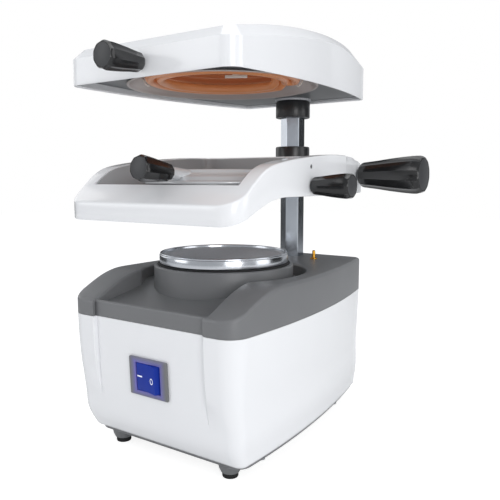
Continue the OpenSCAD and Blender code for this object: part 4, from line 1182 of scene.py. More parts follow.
@dataclass
class Cover:
    """Grey cover: rails in an S, the trough round the chamber and its sloping floor."""

    shop: Shop
    channel: float = 55.4
    well_r: float = 70.5
    lip_y: float = -95.3
    seam: float = 113.2
    skirt: float = 118.0
    wall: float = 2.2
    inner_edge: float = 2.0
    front_edge: float = 2.2
    outer_edge: float = 2.8
    edge_run: float = 30.0
    floor_half: float = 56.2
    floor_r: float = 71.0
    floor_line: tuple[Spot, ...] = (
        (-95.3, 125.5), (-92.2, 125.5), (-88.0, 122.6), (-84.0, 122.7), (-60.0, 126.6),
        (-40.0, 130.9), (-32.0, 132.6), (-24.0, 133.0), (80.0, 133.0),
    )

    def pairs(self) -> list[tuple[Spot, Spot]]:
        """Matches the trough's outline with the plan's.

        Returns:
            Inner and outer points of the right side, from the front to the rear.
        """
        plan = Rails.PLAN
        begin = plan.front + plan.front_r
        found = [((self.channel, self.lip_y), (55.0, plan.front))]
        for a in quarter(12):
            x = plan.side(begin) - plan.front_r * (1 - math.sin(a))
            y = begin - plan.front_r * math.cos(a)
            share = (y - plan.front + 0.3) / (plan.front_r + 0.3)
            found.append(((self.channel, self.lip_y + (begin - self.lip_y) * share), (x, y)))
        meet = -math.sqrt(self.well_r**2 - self.channel**2)
        for i in range(1, 10):
            y = begin + (meet - begin) * i / 9
            found.append(((self.channel, y), (plan.side(y), y)))
        path = self.rest_of_plan(meet)
        start, steps = math.atan2(meet, self.channel), 44
        for i in range(1, steps + 1):
            a = start + (QUARTER - start) * i / steps
            point = (self.well_r * math.cos(a), self.well_r * math.sin(a))
            found.append((point, self.along(path, i / steps)))
        return found

    @staticmethod
    def rest_of_plan(y0: float) -> list[Spot]:
        """The plan's outline from a position on its side to the rear's middle.

        Args:
            y0: the position.

        Returns:
            The points of the outline.
        """
        plan = Rails.PLAN
        end = plan.rear - plan.rear_r
        path = [(plan.side(y), y) for y in (y0 + (end - y0) * i / 20 for i in range(21))]
        for a in quarter(18, 1):
            x = plan.side(end) - plan.rear_r * (1 - math.cos(a))
            path.append((x, end + plan.rear_r * math.sin(a)))
        return path + [(0.0, plan.rear)]

    @staticmethod
    def along(path: Sequence[Spot], share: float) -> Spot:
        """Finds the point at a share of a path's length.

        Args:
            path: the path's points.
            share: the share, from 0 to 1.

        Returns:
            The point.
        """
        lengths = [math.dist(a, b) for a, b in zip(path, path[1:])]
        left = share * sum(lengths)
        for (a, b), length in zip(zip(path, path[1:]), lengths):
            if left <= length + 1e-9:
                t = left / length
                return (a[0] + (b[0] - a[0]) * t, a[1] + (b[1] - a[1]) * t)
            left -= length
        return path[-1]

    def strip(self) -> Obj:
        """Models the U of rails and deck, as one band of cross-sections.

        Returns:
            The band, as a skin without a wall.
        """
        pairs = self.pairs()
        inner, outer = [p[0] for p in pairs], [p[1] for p in pairs]
        sections: list[Ring] = []
        for (ix, iy), (ox, oy), (nx, ny), (mx, my) in zip(
            inner, outer, normals(inner), normals(outer)
        ):
            t = held((oy - Rails.FRONT) / self.edge_run)
            r = self.front_edge + (self.outer_edge - self.front_edge) * t * t * (3 - 2 * t)
            e = self.inner_edge
            top: Ring = []
            for a in quarter(4):
                d = e * (1 - math.cos(a))
                top.append((ix + nx * d, iy + ny * d, -e * (1 - math.sin(a))))
            ax, ay = ix + nx * e, iy + ny * e
            bx, by = ox - mx * r, oy - my * r
            top += [(ax + (bx - ax) * k / 4, ay + (by - ay) * k / 4, 0.0) for k in range(1, 4)]
            for a in quarter(6):
                d = r * (1 - math.sin(a))
                top.append((ox - mx * d, oy - my * d, -r * (1 - math.cos(a))))
            top = [(x, y, z + Rails.height(y)) for x, y, z in top]
            sections.append([(ix, iy, self.skirt), *top, (ox, oy, self.seam)])
        rings = [
            [*row, *((-x, y, z) for x, y, z in reversed(row[:-1]))] for row in zip(*sections)
        ]
        return Bench.loft("cover_rails", rings, Ends.STRIP)

    def floor(self) -> Obj:
        """Models the lip and the floor, as one slab of crosswise sections.

        Returns:
            The slab.
        """
        stops = [-95.3, -95.2, -94.9, -94.3, -93.5, -92.6, -91.6, -90.4, -89.2, -88.0]
        stops += [-86.0, -82.0, *(-74.0 + 6.0 * i for i in range(9))]
        stops += [-20.0, -10.0, 0.0, 30.0, 50.0, 66.0]
        rings = []
        for y in stops:
            half = self.floor_half
            if y >= -43.0:
                half = math.sqrt(max(self.floor_r**2 - y * y, half**2 * 0.1))
            top = smooth_at(self.floor_line, y) - corner_in(1.3, y - self.lip_y)
            low = self.seam if y < -92.7 else top - 2.4
            xs = [half * (k / 8 - 1) for k in range(17)]
            rings.append([(x, y, top) for x in xs] + [(x, y, low) for x in reversed(xs)])
        return Bench.loft("cover_floor", rings, Ends.CAPPED)

    def build(self) -> None:
        """Builds the cover and the holes for column, pin and chamber."""
        rails = self.strip()
        Bench.modify(rails, "SOLIDIFY", thickness=self.wall * MM, offset=-1.0)
        outline = [hexagon(21.1, COLUMN_AT, z) for z in (130.0, 150.0)]
        Bench.cut(rails, Bench.loft("column_hole", outline, Ends.CAPPED))
        Bench.cut(rails, Bench.peg("pin_hole", 3.1, 130.0, 150.0, PIN_AT))
        floor = self.floor()
        Bench.cut(floor, Bench.peg("bowl_hole", 59.8, 110.0, 150.0, steps=128))
        self.shop.finish(rails, "base", Look.GREY, ["top_cover"], 40)
        self.shop.finish(floor, "base", Look.GREY, ["top_cover"], 40, False)


@dataclass
class Chamber:
    """Forming chamber: grey bowl, dark seal, chrome rim and woven screen."""

    shop: Shop
    bowl_r: float = 59.5
    bowl_edge: float = 1.5
    rim_r: float = 55.0
    rim_low: float = 149.8
    screen_z: float = 156.0
    pitch: float = 1.55
    wire: float = 0.5
    cells: int = 64

    def bowl(self) -> None:
        """Turned bowl with a softly rounded edge, and the seal on it."""
        r, edge = self.bowl_r, self.bowl_edge
        profile = [(0.0, 107.0), (r, 107.0), (r, 147.1)]
        for a in quarter(5, 1):
            profile.append((r - edge * (1 - math.cos(a)), 147.1 + edge * math.sin(a)))
        profile += [(46.0, 148.6), (46.0, 146.2), (57.0, 142.0), (57.0, 110.0), (0.0, 110.0)]
        bowl = Bench.lathe("chamber_body", profile, steps=160)
        self.shop.finish(bowl, "base", Look.GREY, ["chamber_bowl"])
        profile = [(49.0, 148.6), (56.4, 148.6), (56.8, 149.0), (56.5, 149.6)]
        profile += [(55.6, self.rim_low), (49.0, self.rim_low)]
        seal = Bench.lathe("chamber_gasket", profile, steps=128)
        self.shop.finish(seal, "base", Look.RUBBER, ["chamber_seal"])

    def rim(self) -> None:
        """Chrome rim ring with a rolled lip and a bright inner wall."""
        r, low = self.rim_r, self.rim_low
        profile = [
            (r - 6.5, low), (r - 0.6, low), (r - 0.15, 150.1), (r, 150.7), (r, 156.6),
            (r - 0.25, 157.1), (r - 0.6, 157.3), (r - 0.5, 157.9), (r - 0.7, 158.4),
            (r - 1.2, 158.7), (r - 1.8, 158.7), (r - 2.2, 158.45), (r - 2.4, 157.9),
            (r - 2.4, 155.2), (r - 6.5, 155.0),
        ]
        rim = Bench.lathe("rim_chrome", profile, steps=192)
        self.shop.finish(rim, "base", Look.CHROME, ["rim_ring"], 50)

    def lattice(self) -> Obj:
        """Weaves the wires: a grid cut round, its crossings up and down in turn.

        Returns:
            The wires.
        """
        Bench.clear()
        bpy.ops.mesh.primitive_grid_add(
            x_subdivisions=self.cells, y_subdivisions=self.cells, size=self.pitch * self.cells * MM
        )
        grid = Bench.settle(bpy.context.object, "screen_lattice")
        bpy.ops.object.mode_set(mode="EDIT")
        mesh = bmesh.from_edit_mesh(grid.data)
        bpy.ops.mesh.select_all(action="DESELECT")
        limit = (self.rim_r - 4.0) * MM
        for face in mesh.faces:
            face.select_set(face.calc_center_median().length > limit)
        bmesh.update_edit_mesh(grid.data)
        bpy.ops.mesh.delete(type="FACE")
        mesh = bmesh.from_edit_mesh(grid.data)
        for vertex in mesh.verts:
            i, k = (round(c / (self.pitch * MM)) for c in vertex.co.xy)
            vertex.co.z = (self.screen_z + (0.12 if (i + k) % 2 else -0.12)) * MM
        bmesh.update_edit_mesh(grid.data)
        bpy.ops.object.mode_set(mode="OBJECT")
        return Bench.modify(grid, "WIREFRAME", thickness=self.wire * MM, use_even_offset=True)

    def screen(self) -> None:
        """Woven screen in its pressed edge."""
        profile = [(49.5, 155.2), (52.7, 155.2), (52.7, 156.3), (51.6, 156.5), (49.5, 156.35)]
        edge = Bench.lathe("screen_edge", profile, steps=96)
        screen = Bench.join("screen", [self.lattice(), edge])
        self.shop.finish(screen, "base", Look.SCREEN, ["perforated_plate"])

    def build(self) -> None:
        """Builds the chamber's pieces."""
        self.bowl()
        self.rim()
        self.screen()


@dataclass
class Switch:
    """Rocker switch on the front panel, blue and lit, pressed on its left side."""

    shop: Shop
    base: Base
    width: float = 38.0
    height: float = 30.0
    thick: float = 2.4
    window: Spot = (12.4, 11.1)
    root: float = 11.8
    crest: float = 10.6
    rise: float = 7.6
    valley: float = 6.6
    tall: float = 10.8
    tilt: float = 8.0
    pivot: float = -4.0
    dash_at: Spot = (-7.2, 0.5)
    ring_at: Spot = (6.3, -0.9)

    def bezel(self) -> None:
        """Grey bezel round a window."""
        x, y, z = self.width / 2, self.height / 2, self.thick
        bezel = Bench.box("bezel", (-x, -y, 0.0), (x, y, z), 0.9, 3)
        hole = Bench.box("hole", (-self.window[0], -self.window[1], -5.0), (*self.window, 8.0))
        Bench.cut(bezel, hole)
        Bench.round_edges(bezel, 0.35, 2, 60)
        Bench.turn(bezel, self.base.on_panel())
        self.shop.finish(bezel, "base", Look.BEZEL, ["switch_bezel"])

    def rocker(self) -> None:
        """Rocker in its V shape, with its I and O marks."""
        crest, rise, edge = self.crest, self.rise, 0.5
        right = [(self.root, 1.2), (crest, rise - edge), (crest - 0.2, rise - 0.1)]
        right.append((crest - edge - 0.1, rise))
        outline = [(-x, z) for x, z in right] + [(0.0, self.valley)] + list(reversed(right))
        stops = [(-self.tall, 0.5), (-self.tall + 0.15, 0.2), (-self.tall + 0.5, 0.0)]
        stops += [(-s, d) for s, d in reversed(stops)]
        rings = [
            [(x * (1 - d / crest), y, z * (1 - d / 12.0)) for x, z in outline] for y, d in stops
        ]
        rocker = Bench.loft("rocker", rings, Ends.CAPPED)
        matrix = self.base.on_panel() @ placed((0.0, 0.0, self.pivot), math.radians(-self.tilt))
        Bench.turn(rocker, matrix)
        self.shop.finish(rocker, "rocker", Look.BLUE, ["switch_rocker"], 30)
        self.marks(matrix)

    def marks(self, matrix: Matrix) -> None:
        """Lays the I and O on the two slopes of the rocker's face.

        Args:
            matrix: from the rocker's own frame to the machine's.
        """
        slope = math.atan2(self.rise - self.valley, self.crest - 0.6)

        def on_slope(at: Spot, turn: float) -> Matrix:
            """Matrix to a place on the face, tilted as its slope."""
            z = self.valley + abs(at[0]) * math.tan(slope) + 0.02
            return matrix @ placed((*at, z), turn)

        dash = Bench.box("dash", (-2.5, -0.55, 0.0), (2.5, 0.55, 0.16), 0.1, 2)
        Bench.turn(dash, on_slope(self.dash_at, slope))
        Bench.clear()
        bpy.ops.mesh.primitive_torus_add(
            major_radius=2.1 * MM, minor_radius=0.36 * MM, major_segments=32, minor_segments=8
        )
        ring = Bench.settle(bpy.context.object, "mark_ring")
        Bench.turn(ring, Matrix.Diagonal((0.74, 1.0, 0.5, 1.0)))
        Bench.turn(ring, on_slope(self.ring_at, -slope))
        marks = Bench.join("rocker_marks", [dash, ring])
        self.shop.finish(marks, "rocker", Look.MARK, ["switch_rocker"], 30, False)

    def build(self) -> None:
        """Builds the switch."""
        self.bezel()
        self.rocker()
        self.shop.dress("switch_body", Look.BLACK)


@dataclass
class Column:
    """Hexagonal column with its collars and the brass vacuum pin."""

    shop: Shop
    across: float = 20.5
    foot: float = 18.0
    top: float = 295.8
    collar_r: float = 16.75
    bore_r: float = 12.4

    def collar(self, name: str, low: float, high: float) -> Obj:
        """Turns a collar with rounded edges.

        Args:
            name: the piece's name.
            low: height of its lower end.
            high: height of its upper end.

        Returns:
            The collar.
        """
        r, bore = self.collar_r, self.bore_r
        profile = [(r - 1.0, low), (r - 0.3, low + 0.2), (r, low + 0.9), (r, high - 1.3)]
        profile += [(r - 0.35, high - 0.4), (r - 1.2, high), (13.0, high), (bore, high - 0.4)]
        profile += [(bore, low + 0.4), (12.8, low)]
        return Bench.lathe(name, profile, COLUMN_AT, 96)

    def pin(self) -> None:
        """Brass pin with its collar and a rounded tip."""
        profile = [
            (0.0, 124.5), (1.2, 124.5), (1.5, 124.8), (1.5, 133.6), (2.9, 133.6), (2.9, 135.1),
            (1.5, 135.1), (1.5, 151.0), (1.4, 151.5), (1.05, 151.85), (0.5, 152.0), (0.0, 152.0),
        ]
        pin = Bench.lathe("pin_brass", profile, PIN_AT, 32)
        self.shop.finish(pin, "pin", Look.BRASS, ["vacuum_pin"], 40)
        self.shop.dress("pin_bush", Look.BRASS, 0.2)

    def build(self) -> None:
        """Builds the column, its collars and the pin."""
        rings = [
            hexagon(self.across, COLUMN_AT, z, 0.5) for z in (self.foot, 100.0, 200.0, self.top)
        ]
        bar = Bench.loft("column_bar", rings, Ends.CAPPED)
        pivot = Bench.peg("pivot", 8.0, 295.0, 316.3, COLUMN_AT, 48)
        column = Bench.join("column_bar", [bar, pivot])
        self.shop.finish(column, "base", Look.COLUMN, ["column"], 25)
        for name, low, high, body, node in (
            ("collar_upper", 279.8, self.top, "base", "upper_collar"),
            ("collar_lower", 209.0, 251.8, "carriage", "column_bush"),
        ):
            self.shop.finish(self.collar(name, low, high), body, Look.COLLAR, [node])
        self.pin()


@dataclass
class Knob:
    """Black moulded knob: flats that are slightly hollow, a bevelled rim and a pale end disc."""

    length: float
    big: float
    neck: float
    flats: int = 10
    hollow: float = 0.035

    def outline(self, radius: float, z: float, share: float) -> Ring:
        """Cross-section with hollow flats.

        Args:
            radius: its radius over the edges between the flats.
            z: its place along the knob.
            share: how strong the flats are, from 0 for a circle to 1.

        Returns:
            The closed outline.
        """
        points: Ring = []
        for k in range(self.flats):
            for step in range(5):
                a = math.tau * (k + step / 5) / self.flats
                into = math.pi / self.flats
                off = abs(step / 5 - 0.5) * 2 * into
                flat = math.cos(into) / math.cos(into - (into - off) if off > into else off)
                depth = self.hollow * (1 - (2 * abs(step / 5 - 0.5)) ** 2)
                r = radius * (1 - share * (1 - flat + depth))
                points.append((r * math.cos(a), r * math.sin(a), z))
        return points

    def build(self, name: str, matrix: Matrix, bore: float) -> tuple[Obj, Obj]:
        """Models the knob along its own axis and puts it in place.

        Args:
            name: the knob's name.
            matrix: from the knob's own frame to the machine's.
            bore: radius of the stud's hole.

        Returns:
            The grip and its end disc.
        """
        n, b, s = self.length, self.big, self.neck
        stops = [
            (bore, 3.0, 0.0), (bore, 0.0, 0.0), (s * 0.72, 0.0, 0.2), (s * 0.86, 0.015 * n, 0.5),
            (s * 0.97, 0.045 * n, 0.9), (s * 1.03, 0.08 * n, 1.0),
            (s + (b - s) * 0.32, 0.3 * n, 1.0), (s + (b - s) * 0.62, 0.5 * n, 1.0),
            (s + (b - s) * 0.86, 0.7 * n, 1.0), (b, 0.86 * n, 1.0), (b * 0.998, 0.92 * n, 1.0),
            (b * 0.97, 0.955 * n, 0.95), (b * 0.91, 0.99 * n, 0.6), (b * 0.87, n, 0.3),
            (b * 0.83, n, 0.0), (b * 0.81, n - 0.3, 0.0), (0.01, n - 0.3, 0.0),
        ]
        grip = Bench.loft(name, [self.outline(r, z, w) for r, z, w in stops], Ends.OPEN)
        profile = [(0.0, n - 0.8), (b * 0.8, n - 0.8), (b * 0.8, n - 0.15)]
        profile += [(b * 0.775, n - 0.02), (0.0, n - 0.02)]
        disc = Bench.lathe(name + "_cap", profile, steps=64)
        return Bench.turn(grip, matrix), Bench.turn(disc, matrix)


@dataclass
class Handles:
    """The four black knobs on their studs, and the clamp's rod."""

    shop: Shop
    rod_at: Point = (0.0, -43.0, 222.7)
    rod_lean: float = 5.5
    rod_end: float = 25.115
    facet_turn: float = 18.0

    def rod_matrix(self) -> Matrix:
        """Matrix from the clamp rod's own frame to the machine's, in metres."""
        return placed(self.rod_at, math.radians(90 - self.rod_lean), "X")

    def knobs(self) -> None:
        """Builds the four knobs, each with its end disc."""
        small = Knob(33.0, 9.8, 6.8)
        large = Knob(60.0, 17.2, 11.5, 12, 0.03)
        on_rod = self.rod_matrix() @ placed((0.0, 0.0, self.rod_end))
        turn = Matrix.Rotation(math.radians(self.facet_turn), 4, "Z")
        for knob, name, body, node, matrix, bore in (
            (large, "handle_grip", "column_lock", "lock_handle",
             placed((74.0, COLUMN_AT[1], LOCK_Z), QUARTER), 4.1),
            (small, "side_grip", "side_lock", "side_knob",
             placed((86.04, 0.0, SIDE_KNOB_Z), QUARTER), 3.6),
            (small, "clamp_grip", "clamp", "clamp_knob", on_rod, 4.7),
            (Knob(35.0, 9.8, 6.8), "head_grip", "head", "head_knob",
             placed((0.0, -96.9, 301.4), QUARTER, "X"), 3.6),
        ):
            grip, disc = knob.build(name, matrix @ turn, bore)
            self.shop.finish(grip, body, Look.BLACK, [node], 22)
            self.shop.finish(disc, body, Look.KNOB_END, [node], 30, False)

    def rod(self) -> None:
        """The clamp's rod, flat beneath where it passes over the rim."""
        profile = [(0.0, -2.0), (4.2, -2.0), (4.6, -1.5), (4.6, 40.0), (0.0, 40.0)]
        rod = Bench.turn(Bench.lathe("rod", profile, steps=48), self.rod_matrix())
        Bench.cut(rod, Bench.box("under_rod", (-8.0, -59.5, 205.0), (8.0, -30.0, 221.6)))
        self.shop.finish(rod, "clamp", Look.CLAMP, ["clamp_rod"])

    def build(self) -> None:
        """Builds the knobs and the rod, and dresses the studs."""
        self.knobs()
        for node in ("lock_stud", "side_stud", "head_stud"):
            self.shop.dress(node, Look.STEEL)
        self.rod()


@dataclass
class Carriage:
    """White sheet carriage: frame, rear cover, liner and clamp ring."""

    shop: Shop
    rise: float = 189.0
    open_half: float = 72.0
    open_front: float = -78.6
    open_rear: float = 69.6
    open_corner: float = 13.6
    seam: float = 74.0
    cover_seam: float = 74.25
    edge: float = 1.6
    screw_at: Point = (0.0, -2.0, 229.7)
    clamp_z: float = 216.3
    hinge_at: Point = (0.0, 65.0, 223.9)
    profile: tuple[Spot, ...] = (
        (0.0, 13.5), (13.0, 21.0), (23.0, 29.5), (36.0, 38.0), (51.0, 42.5), (87.0, 47.3),
        (142.0, 51.3), (190.0, 51.2), (236.5, 48.5),
    )

    def low(self, y: float) -> float:
        """Height of the lower edge, a little lower at the front."""
        return Rails.height(y) + Rails.GAP - 0.6 * held((-62.0 - y) / 22.0)

    def high(self, y: float) -> float:
        """Height of the upper surface."""
        return self.rise + smooth_at(self.profile, y - Rails.FRONT)

    def frame(self) -> None:
        """The frame: outline walls, rounded arms and the sloping front plate."""
        plan = Rails.PLAN
        stops = [-78.0, -73.0, -68.0, -63.0, -58.0, -53.0, -47.0, -40.0]
        stops += [-32.0, -22.0, -10.0, 4.0, 20.0, 38.0, 56.0]
        right = plan.right([(x, plan.front) for x in (14.0, 34.0, 48.0)], 12, stops=stops)
        right = [p for p in right if p[1] < self.seam - 4.0] + [(plan.side(self.seam), self.seam)]
        body = self.body(right)
        opening = [[(x, y, z) for x, y in self.opening()] for z in (150.0, 300.0)]
        Bench.cut(body, Bench.loft("opening", opening, Ends.CAPPED))
        to_side = placed((0.0, 0.0, SIDE_KNOB_Z), QUARTER)
        to_screw = placed(self.screw_at, QUARTER)
        Bench.cut(body, Bench.turn(Bench.peg("hole", 3.6, 70.0, 100.0), to_side))
        Bench.cut(body, Bench.turn(Bench.peg("hole", 1.75, 82.8, 100.0, steps=24), to_screw))
        Bench.round_edges(body, 0.5, 2, 50)
        self.shop.finish(body, "carriage", Look.WHITE, ["carriage_frame"], 32)
        # Screw head sunk in the arm's hole. It is black so that it also paints the shade inside the
        # hole: a real screw with painted shade.
        profile = [(0.0, 82.9), (1.6, 82.9), (1.6, 85.0), (0.8, 85.0), (0.8, 84.2), (0.0, 84.2)]
        screw = Bench.turn(Bench.lathe("arm_screw_dark_for_shade", profile, steps=24), to_screw)
        self.shop.finish(screw, "carriage", Look.COLLAR, ["carriage_frame"], 30, False)

    def opening(self) -> list[Spot]:
        """Outline of the opening, square at the front and rounded at the rear.

        Returns:
            The closed outline.
        """
        points = [(self.open_half, self.open_front)]
        for a in quarter(8):
            x = self.open_half - self.open_corner * (1 - math.cos(a))
            points.append((x, self.open_rear - self.open_corner * (1 - math.sin(a))))
        return points + [(-x, y) for x, y in reversed(points)]

    def body(self, right: Sequence[Spot]) -> Obj:
        """A solid between the lower and upper surfaces, over an outline.

        Args:
            right: points of the outline's right side, with none on the middle line.

        Returns:
            The solid, its upper outer edge rounded.
        """

        def drawn(d: float) -> list[Spot]:
            """Draws the outline in, except at the flat rear.

            Args:
                d: how far.

            Returns:
                The points.
            """
            return [
                (x - nx * d, y - (ny * d if y < self.seam - 1e-6 else 0.0))
                for (x, y), (nx, ny) in zip(right, normals(right))
            ]

        rings = [
            both_sides(drawn(d), lambda y: self.low(y) + up)
            for d, up in ((1.2, 0.0), (0.35, 0.3), (0.0, 1.1))
        ]
        for a in quarter(5):
            d, down = self.edge * (1 - math.cos(a)), self.edge * (1 - math.sin(a))
            rings.append(both_sides(drawn(d), lambda y: self.high(y) - down))
        return Bench.loft("carriage_body", rings, Ends.CROWN)

    def rear_cover(self) -> None:
        """The rear cover behind its seam, round the column."""
        plan = Rails.PLAN
        right = [(70.0, self.cover_seam), (plan.side(self.cover_seam), self.cover_seam)]
        right += [p for p in plan.right(corner=16, along=20) if p[1] > 76.0]
        rings: list[Ring] = []
        for d, up, surface in (
            (1.2, 0.0, self.low), (0.35, 0.3, self.low), (0.0, 1.1, self.low),
            (0.0, -7.5, self.high), (0.5, -5.0, self.high), (1.7, -2.7, self.high),
            (3.4, -1.0, self.high), (5.2, -0.3, self.high), (7.5, 0.0, self.high),
        ):
            side = min(d, 2.6)
            moved = [
                (x - nx * (d if y > 110.0 else side), y - (ny * d if y > 76.0 else 0.0))
                for (x, y), (nx, ny) in zip(right, normals(right))
            ]
            rings.append(both_sides(moved, lambda y: surface(y) + up))
        cover = Bench.loft("rear_cover", rings, Ends.CROWN)
        neck = Bench.peg("hole", 5.4, 55.0, 100.0, steps=48)
        for tool in (
            Bench.peg("hole", 17.1, 195.0, 260.0, COLUMN_AT, 96),
            Bench.peg("hole", 5.1, 195.0, 214.6, PIN_AT),
            Bench.turn(neck, placed((*COLUMN_AT, LOCK_Z), QUARTER)),
        ):
            Bench.cut(cover, tool)
        self.shop.finish(cover, "carriage", Look.WHITE, ["carriage_rear_cover"], 32)

    def clamp(self) -> None:
        """Spun clamp ring: flange, waisted wall and rolled top lip, with two hinge ears."""
        z = self.clamp_z
        profile = [
            (57.3, z), (65.4, z), (66.0, z + 0.6), (66.0, z + 1.7), (65.4, z + 2.3),
            (60.4, z + 2.4), (59.0, z + 2.7), (58.0, z + 3.6), (57.2, z + 5.2), (55.6, z + 6.5),
            (52.0, z + 7.2), (49.0, z + 7.8), (47.4, z + 8.8), (46.6, z + 10.0), (46.1, z + 11.1),
            (45.4, z + 11.55), (44.4, z + 11.6), (43.5, z + 11.3), (43.0, z + 10.6),
            (43.0, z + 8.6), (43.6, z + 7.2), (47.0, z + 6.5), (53.5, z + 5.9), (55.9, z + 5.2),
        ]
        parts = [Bench.lathe("clamp_dome", profile, steps=160)]
        for low, high in ((-20.0, -14.0), (14.0, 20.0)):
            parts.append(Bench.box("ear", (low, 59.2, z + 0.1), (high, 65.0, z + 8.6), 0.6))
        for turn in (-QUARTER, QUARTER):
            knuckle = Bench.peg("knuckle", 2.5, 14.0, 20.0)
            parts.append(Bench.turn(knuckle, placed(self.hinge_at, turn)))
        clamp = Bench.join("clamp_dome", parts)
        self.shop.finish(clamp, "clamp", Look.CLAMP, ["clamp_ring"], 45)

    def build(self) -> None:
        """Builds the carriage's pieces and dresses those that keep their own shape."""
        self.frame()
        self.rear_cover()
        self.clamp()
        for node, look, bevel in (
            ("carriage_liner", Look.LINER, 0.0), ("lower_sheet_ring", Look.CLAMP, 0.4),
            ("sheet_seal", Look.RUBBER, 0.0), ("slide_block", Look.STEEL, 0.4),
            ("block_screws", Look.STEEL, 0.0), ("clamp_hinge_pin", Look.STEEL, 0.0),
        ):
            self.shop.dress(node, look, bevel)


@dataclass
class Head:
    """Heater head: bevelled white shell, dark liner, reflector, heater and hub."""

    shop: Shop
    front: float = -95.4
    rear: float = 134.3
    half: float = 85.0
    bow: float = 20.0
    low: float = 291.8
    rake: float = 2.9
    top: tuple[Spot, ...] = (
        (0.0, 25.6), (7.4, 27.6), (18.5, 29.5), (45.6, 34.5), (78.4, 39.1), (120.1, 42.9),
        (146.8, 44.3), (181.4, 44.6), (205.0, 43.2), (222.0, 40.4), (229.7, 38.4),
    )
    side_top: tuple[Spot, ...] = (
        (0.0, 20.0), (8.0, 20.1), (21.0, 22.0), (49.0, 26.8), (83.0, 31.2), (128.0, 35.8),
        (157.0, 36.4), (198.0, 33.8), (229.7, 31.4),
    )
    coil_r: float = 60.4
    coil_gap: float = 9.0
    coil_z: float = 302.0
    coil_start: float = 70.0
    coil_end: float = 396.0
    tube_r: float = 3.6
    wire_r: float = 0.6
    clips_at: tuple[float, ...] = (36.0, 212.0)
    dish_r: float = 79.0

    @property
    def plan(self) -> Plan:
        """Outline of the shell's walls."""
        return Plan(self.half, self.front, self.rear, 12.0, 6.0, bow=self.bow, widest=-10.0)

    def shell(self) -> None:
        """The shell: upright walls, a bevel all round and a crowned top."""

        def lower(y: float) -> float:
            """Height of the lower edge."""
            return self.low + self.rake * (y - self.front) / (self.rear - self.front)

        def upper(y: float) -> float:
            """Height where the walls end and the bevel begins."""
            return self.low + smooth_at(self.side_top, y - self.front)

        def outline(plan: Plan) -> list[Spot]:
            """Right side of a plan, with as many points for each ring."""
            return plan.right(corner=14, along=26)

        rings = [
            both_sides(outline(self.plan.drawn_in(d)), lambda y: lower(y) + up)
            for d, up in ((0.7, 0.0), (0.2, 0.25), (0.0, 0.9))
        ]
        rings += [
            both_sides(outline(self.plan), lambda y: lower(y) * (1 - share) + share * upper(y))
            for share in (0.35, 0.7, 1.0)
        ]
        inner = replace(self.plan.drawn_in(8.0, 7.5), front_r=8.0, rear_r=5.0)
        rings.append(
            both_sides(outline(inner), lambda y: self.low + smooth_at(self.top, y - self.front))
        )
        shell = Bench.loft("head_body", rings, Ends.LID)
        Bench.round_edges(shell, 1.6, 4, 20)
        Bench.modify(shell, "SOLIDIFY", thickness=2.4 * MM, offset=-1.0)
        self.shop.finish(shell, "head", Look.WHITE, ["head_shell"], 30)

    def on_coil(self, radius: float, angle: float, up: float = 0.0) -> Point:
        """Point at a radius, an angle in degrees and a height over the coil's middle."""
        a = math.radians(angle)
        return (radius * math.cos(a), radius * math.sin(a), self.coil_z + up)

    def heater(self) -> None:
        """The heater tube: an outer and an inner turn, and its risen ends."""
        outer, inner = self.coil_r, self.coil_r - self.coil_gap
        sweep = self.coil_end - self.coil_start
        ends = (14.0, 9.0, 4.5, 1.8)
        path = [self.on_coil(outer, self.coil_start - 4.0, up) for up in ends]
        path += [self.on_coil(outer, self.coil_start + sweep * i / 66) for i in range(67)]
        for a in (math.radians(22.5 * i) for i in range(1, 8)):
            r = outer - self.coil_gap / 2 * (1 - math.cos(a))
            path.append(self.on_coil(r, self.coil_end + 5.5 * math.sin(a)))
        path += [self.on_coil(inner, self.coil_end - sweep * i / 66) for i in range(67)]
        path += [self.on_coil(inner, self.coil_start - 6.0, up) for up in reversed(ends)]
        tube = Bench.sweep("heater_coil", path, self.tube_r, 16)
        self.shop.finish(tube, "head", Look.HEATER, ["heater_tube"], 60)

    def clips(self) -> None:
        """Wire clips: a beam over both turns, its stem and a hook under the outer turn."""
        inner = self.coil_r - self.coil_gap - self.tube_r
        outer, middle = self.coil_r + self.tube_r, self.coil_r - self.coil_gap / 2
        below, above = -self.tube_r - 0.9, self.tube_r + 0.8
        wires = []
        for angle in self.clips_at:
            hook = [
                self.on_coil(r, angle, up)
                for r, up in (
                    (outer + 5.0, above + 0.6), (outer + 1.0, below + 1.4),
                    (outer - 0.9, below + 0.2), (outer - 2.2, below),
                )
            ]
            stem = [self.on_coil(middle, angle, up) for up in (above, 12.5)]
            beam = [self.on_coil(r, angle, above) for r in (outer + 5.0, inner)]
            wires += [Bench.sweep("clip", path, self.wire_r, 8) for path in (hook, stem, beam)]
        self.shop.finish(
            Bench.join("coil_clips", wires), "head", Look.CERAMIC, ["heater_clips"], 40
        )

    def reflector(self) -> None:
        """Stepped reflector and its rolled rim."""
        r = self.dish_r
        dish = [
            (0.0, 315.6), (38.0, 315.4), (39.0, 314.6), (47.0, 314.0), (48.0, 313.0),
            (56.0, 311.6), (57.0, 310.4), (63.0, 308.4), (66.5, 305.4), (67.5, 304.0),
            (68.2, 304.2), (67.2, 306.2), (63.6, 309.4), (57.4, 311.6), (48.4, 314.2),
            (39.2, 315.8), (38.2, 316.6), (0.0, 316.8),
        ]
        rim = [
            (66.6, 304.6), (70.0, 301.2), (r - 4.6, 298.6), (r - 3.2, 297.2), (r - 2.4, 296.2),
            (r - 1.4, 295.8), (r - 0.4, 295.9), (r, 296.5), (r - 0.9, 297.3), (r - 2.0, 298.0),
            (r - 3.6, 299.8), (71.0, 302.4), (67.4, 305.8),
        ]
        # The dish's finish has the heater's reflected glow painted in: painted reflection and
        # painted glow.
        for name, profile, look, whole in (
            ("reflector_dish", dish, Look.REFLECTOR, True),
            ("reflector_rim", rim, Look.PAN, False),
        ):
            piece = Bench.lathe(name, profile, steps=128)
            self.shop.finish(piece, "head", look, ["reflector"], 40, whole)

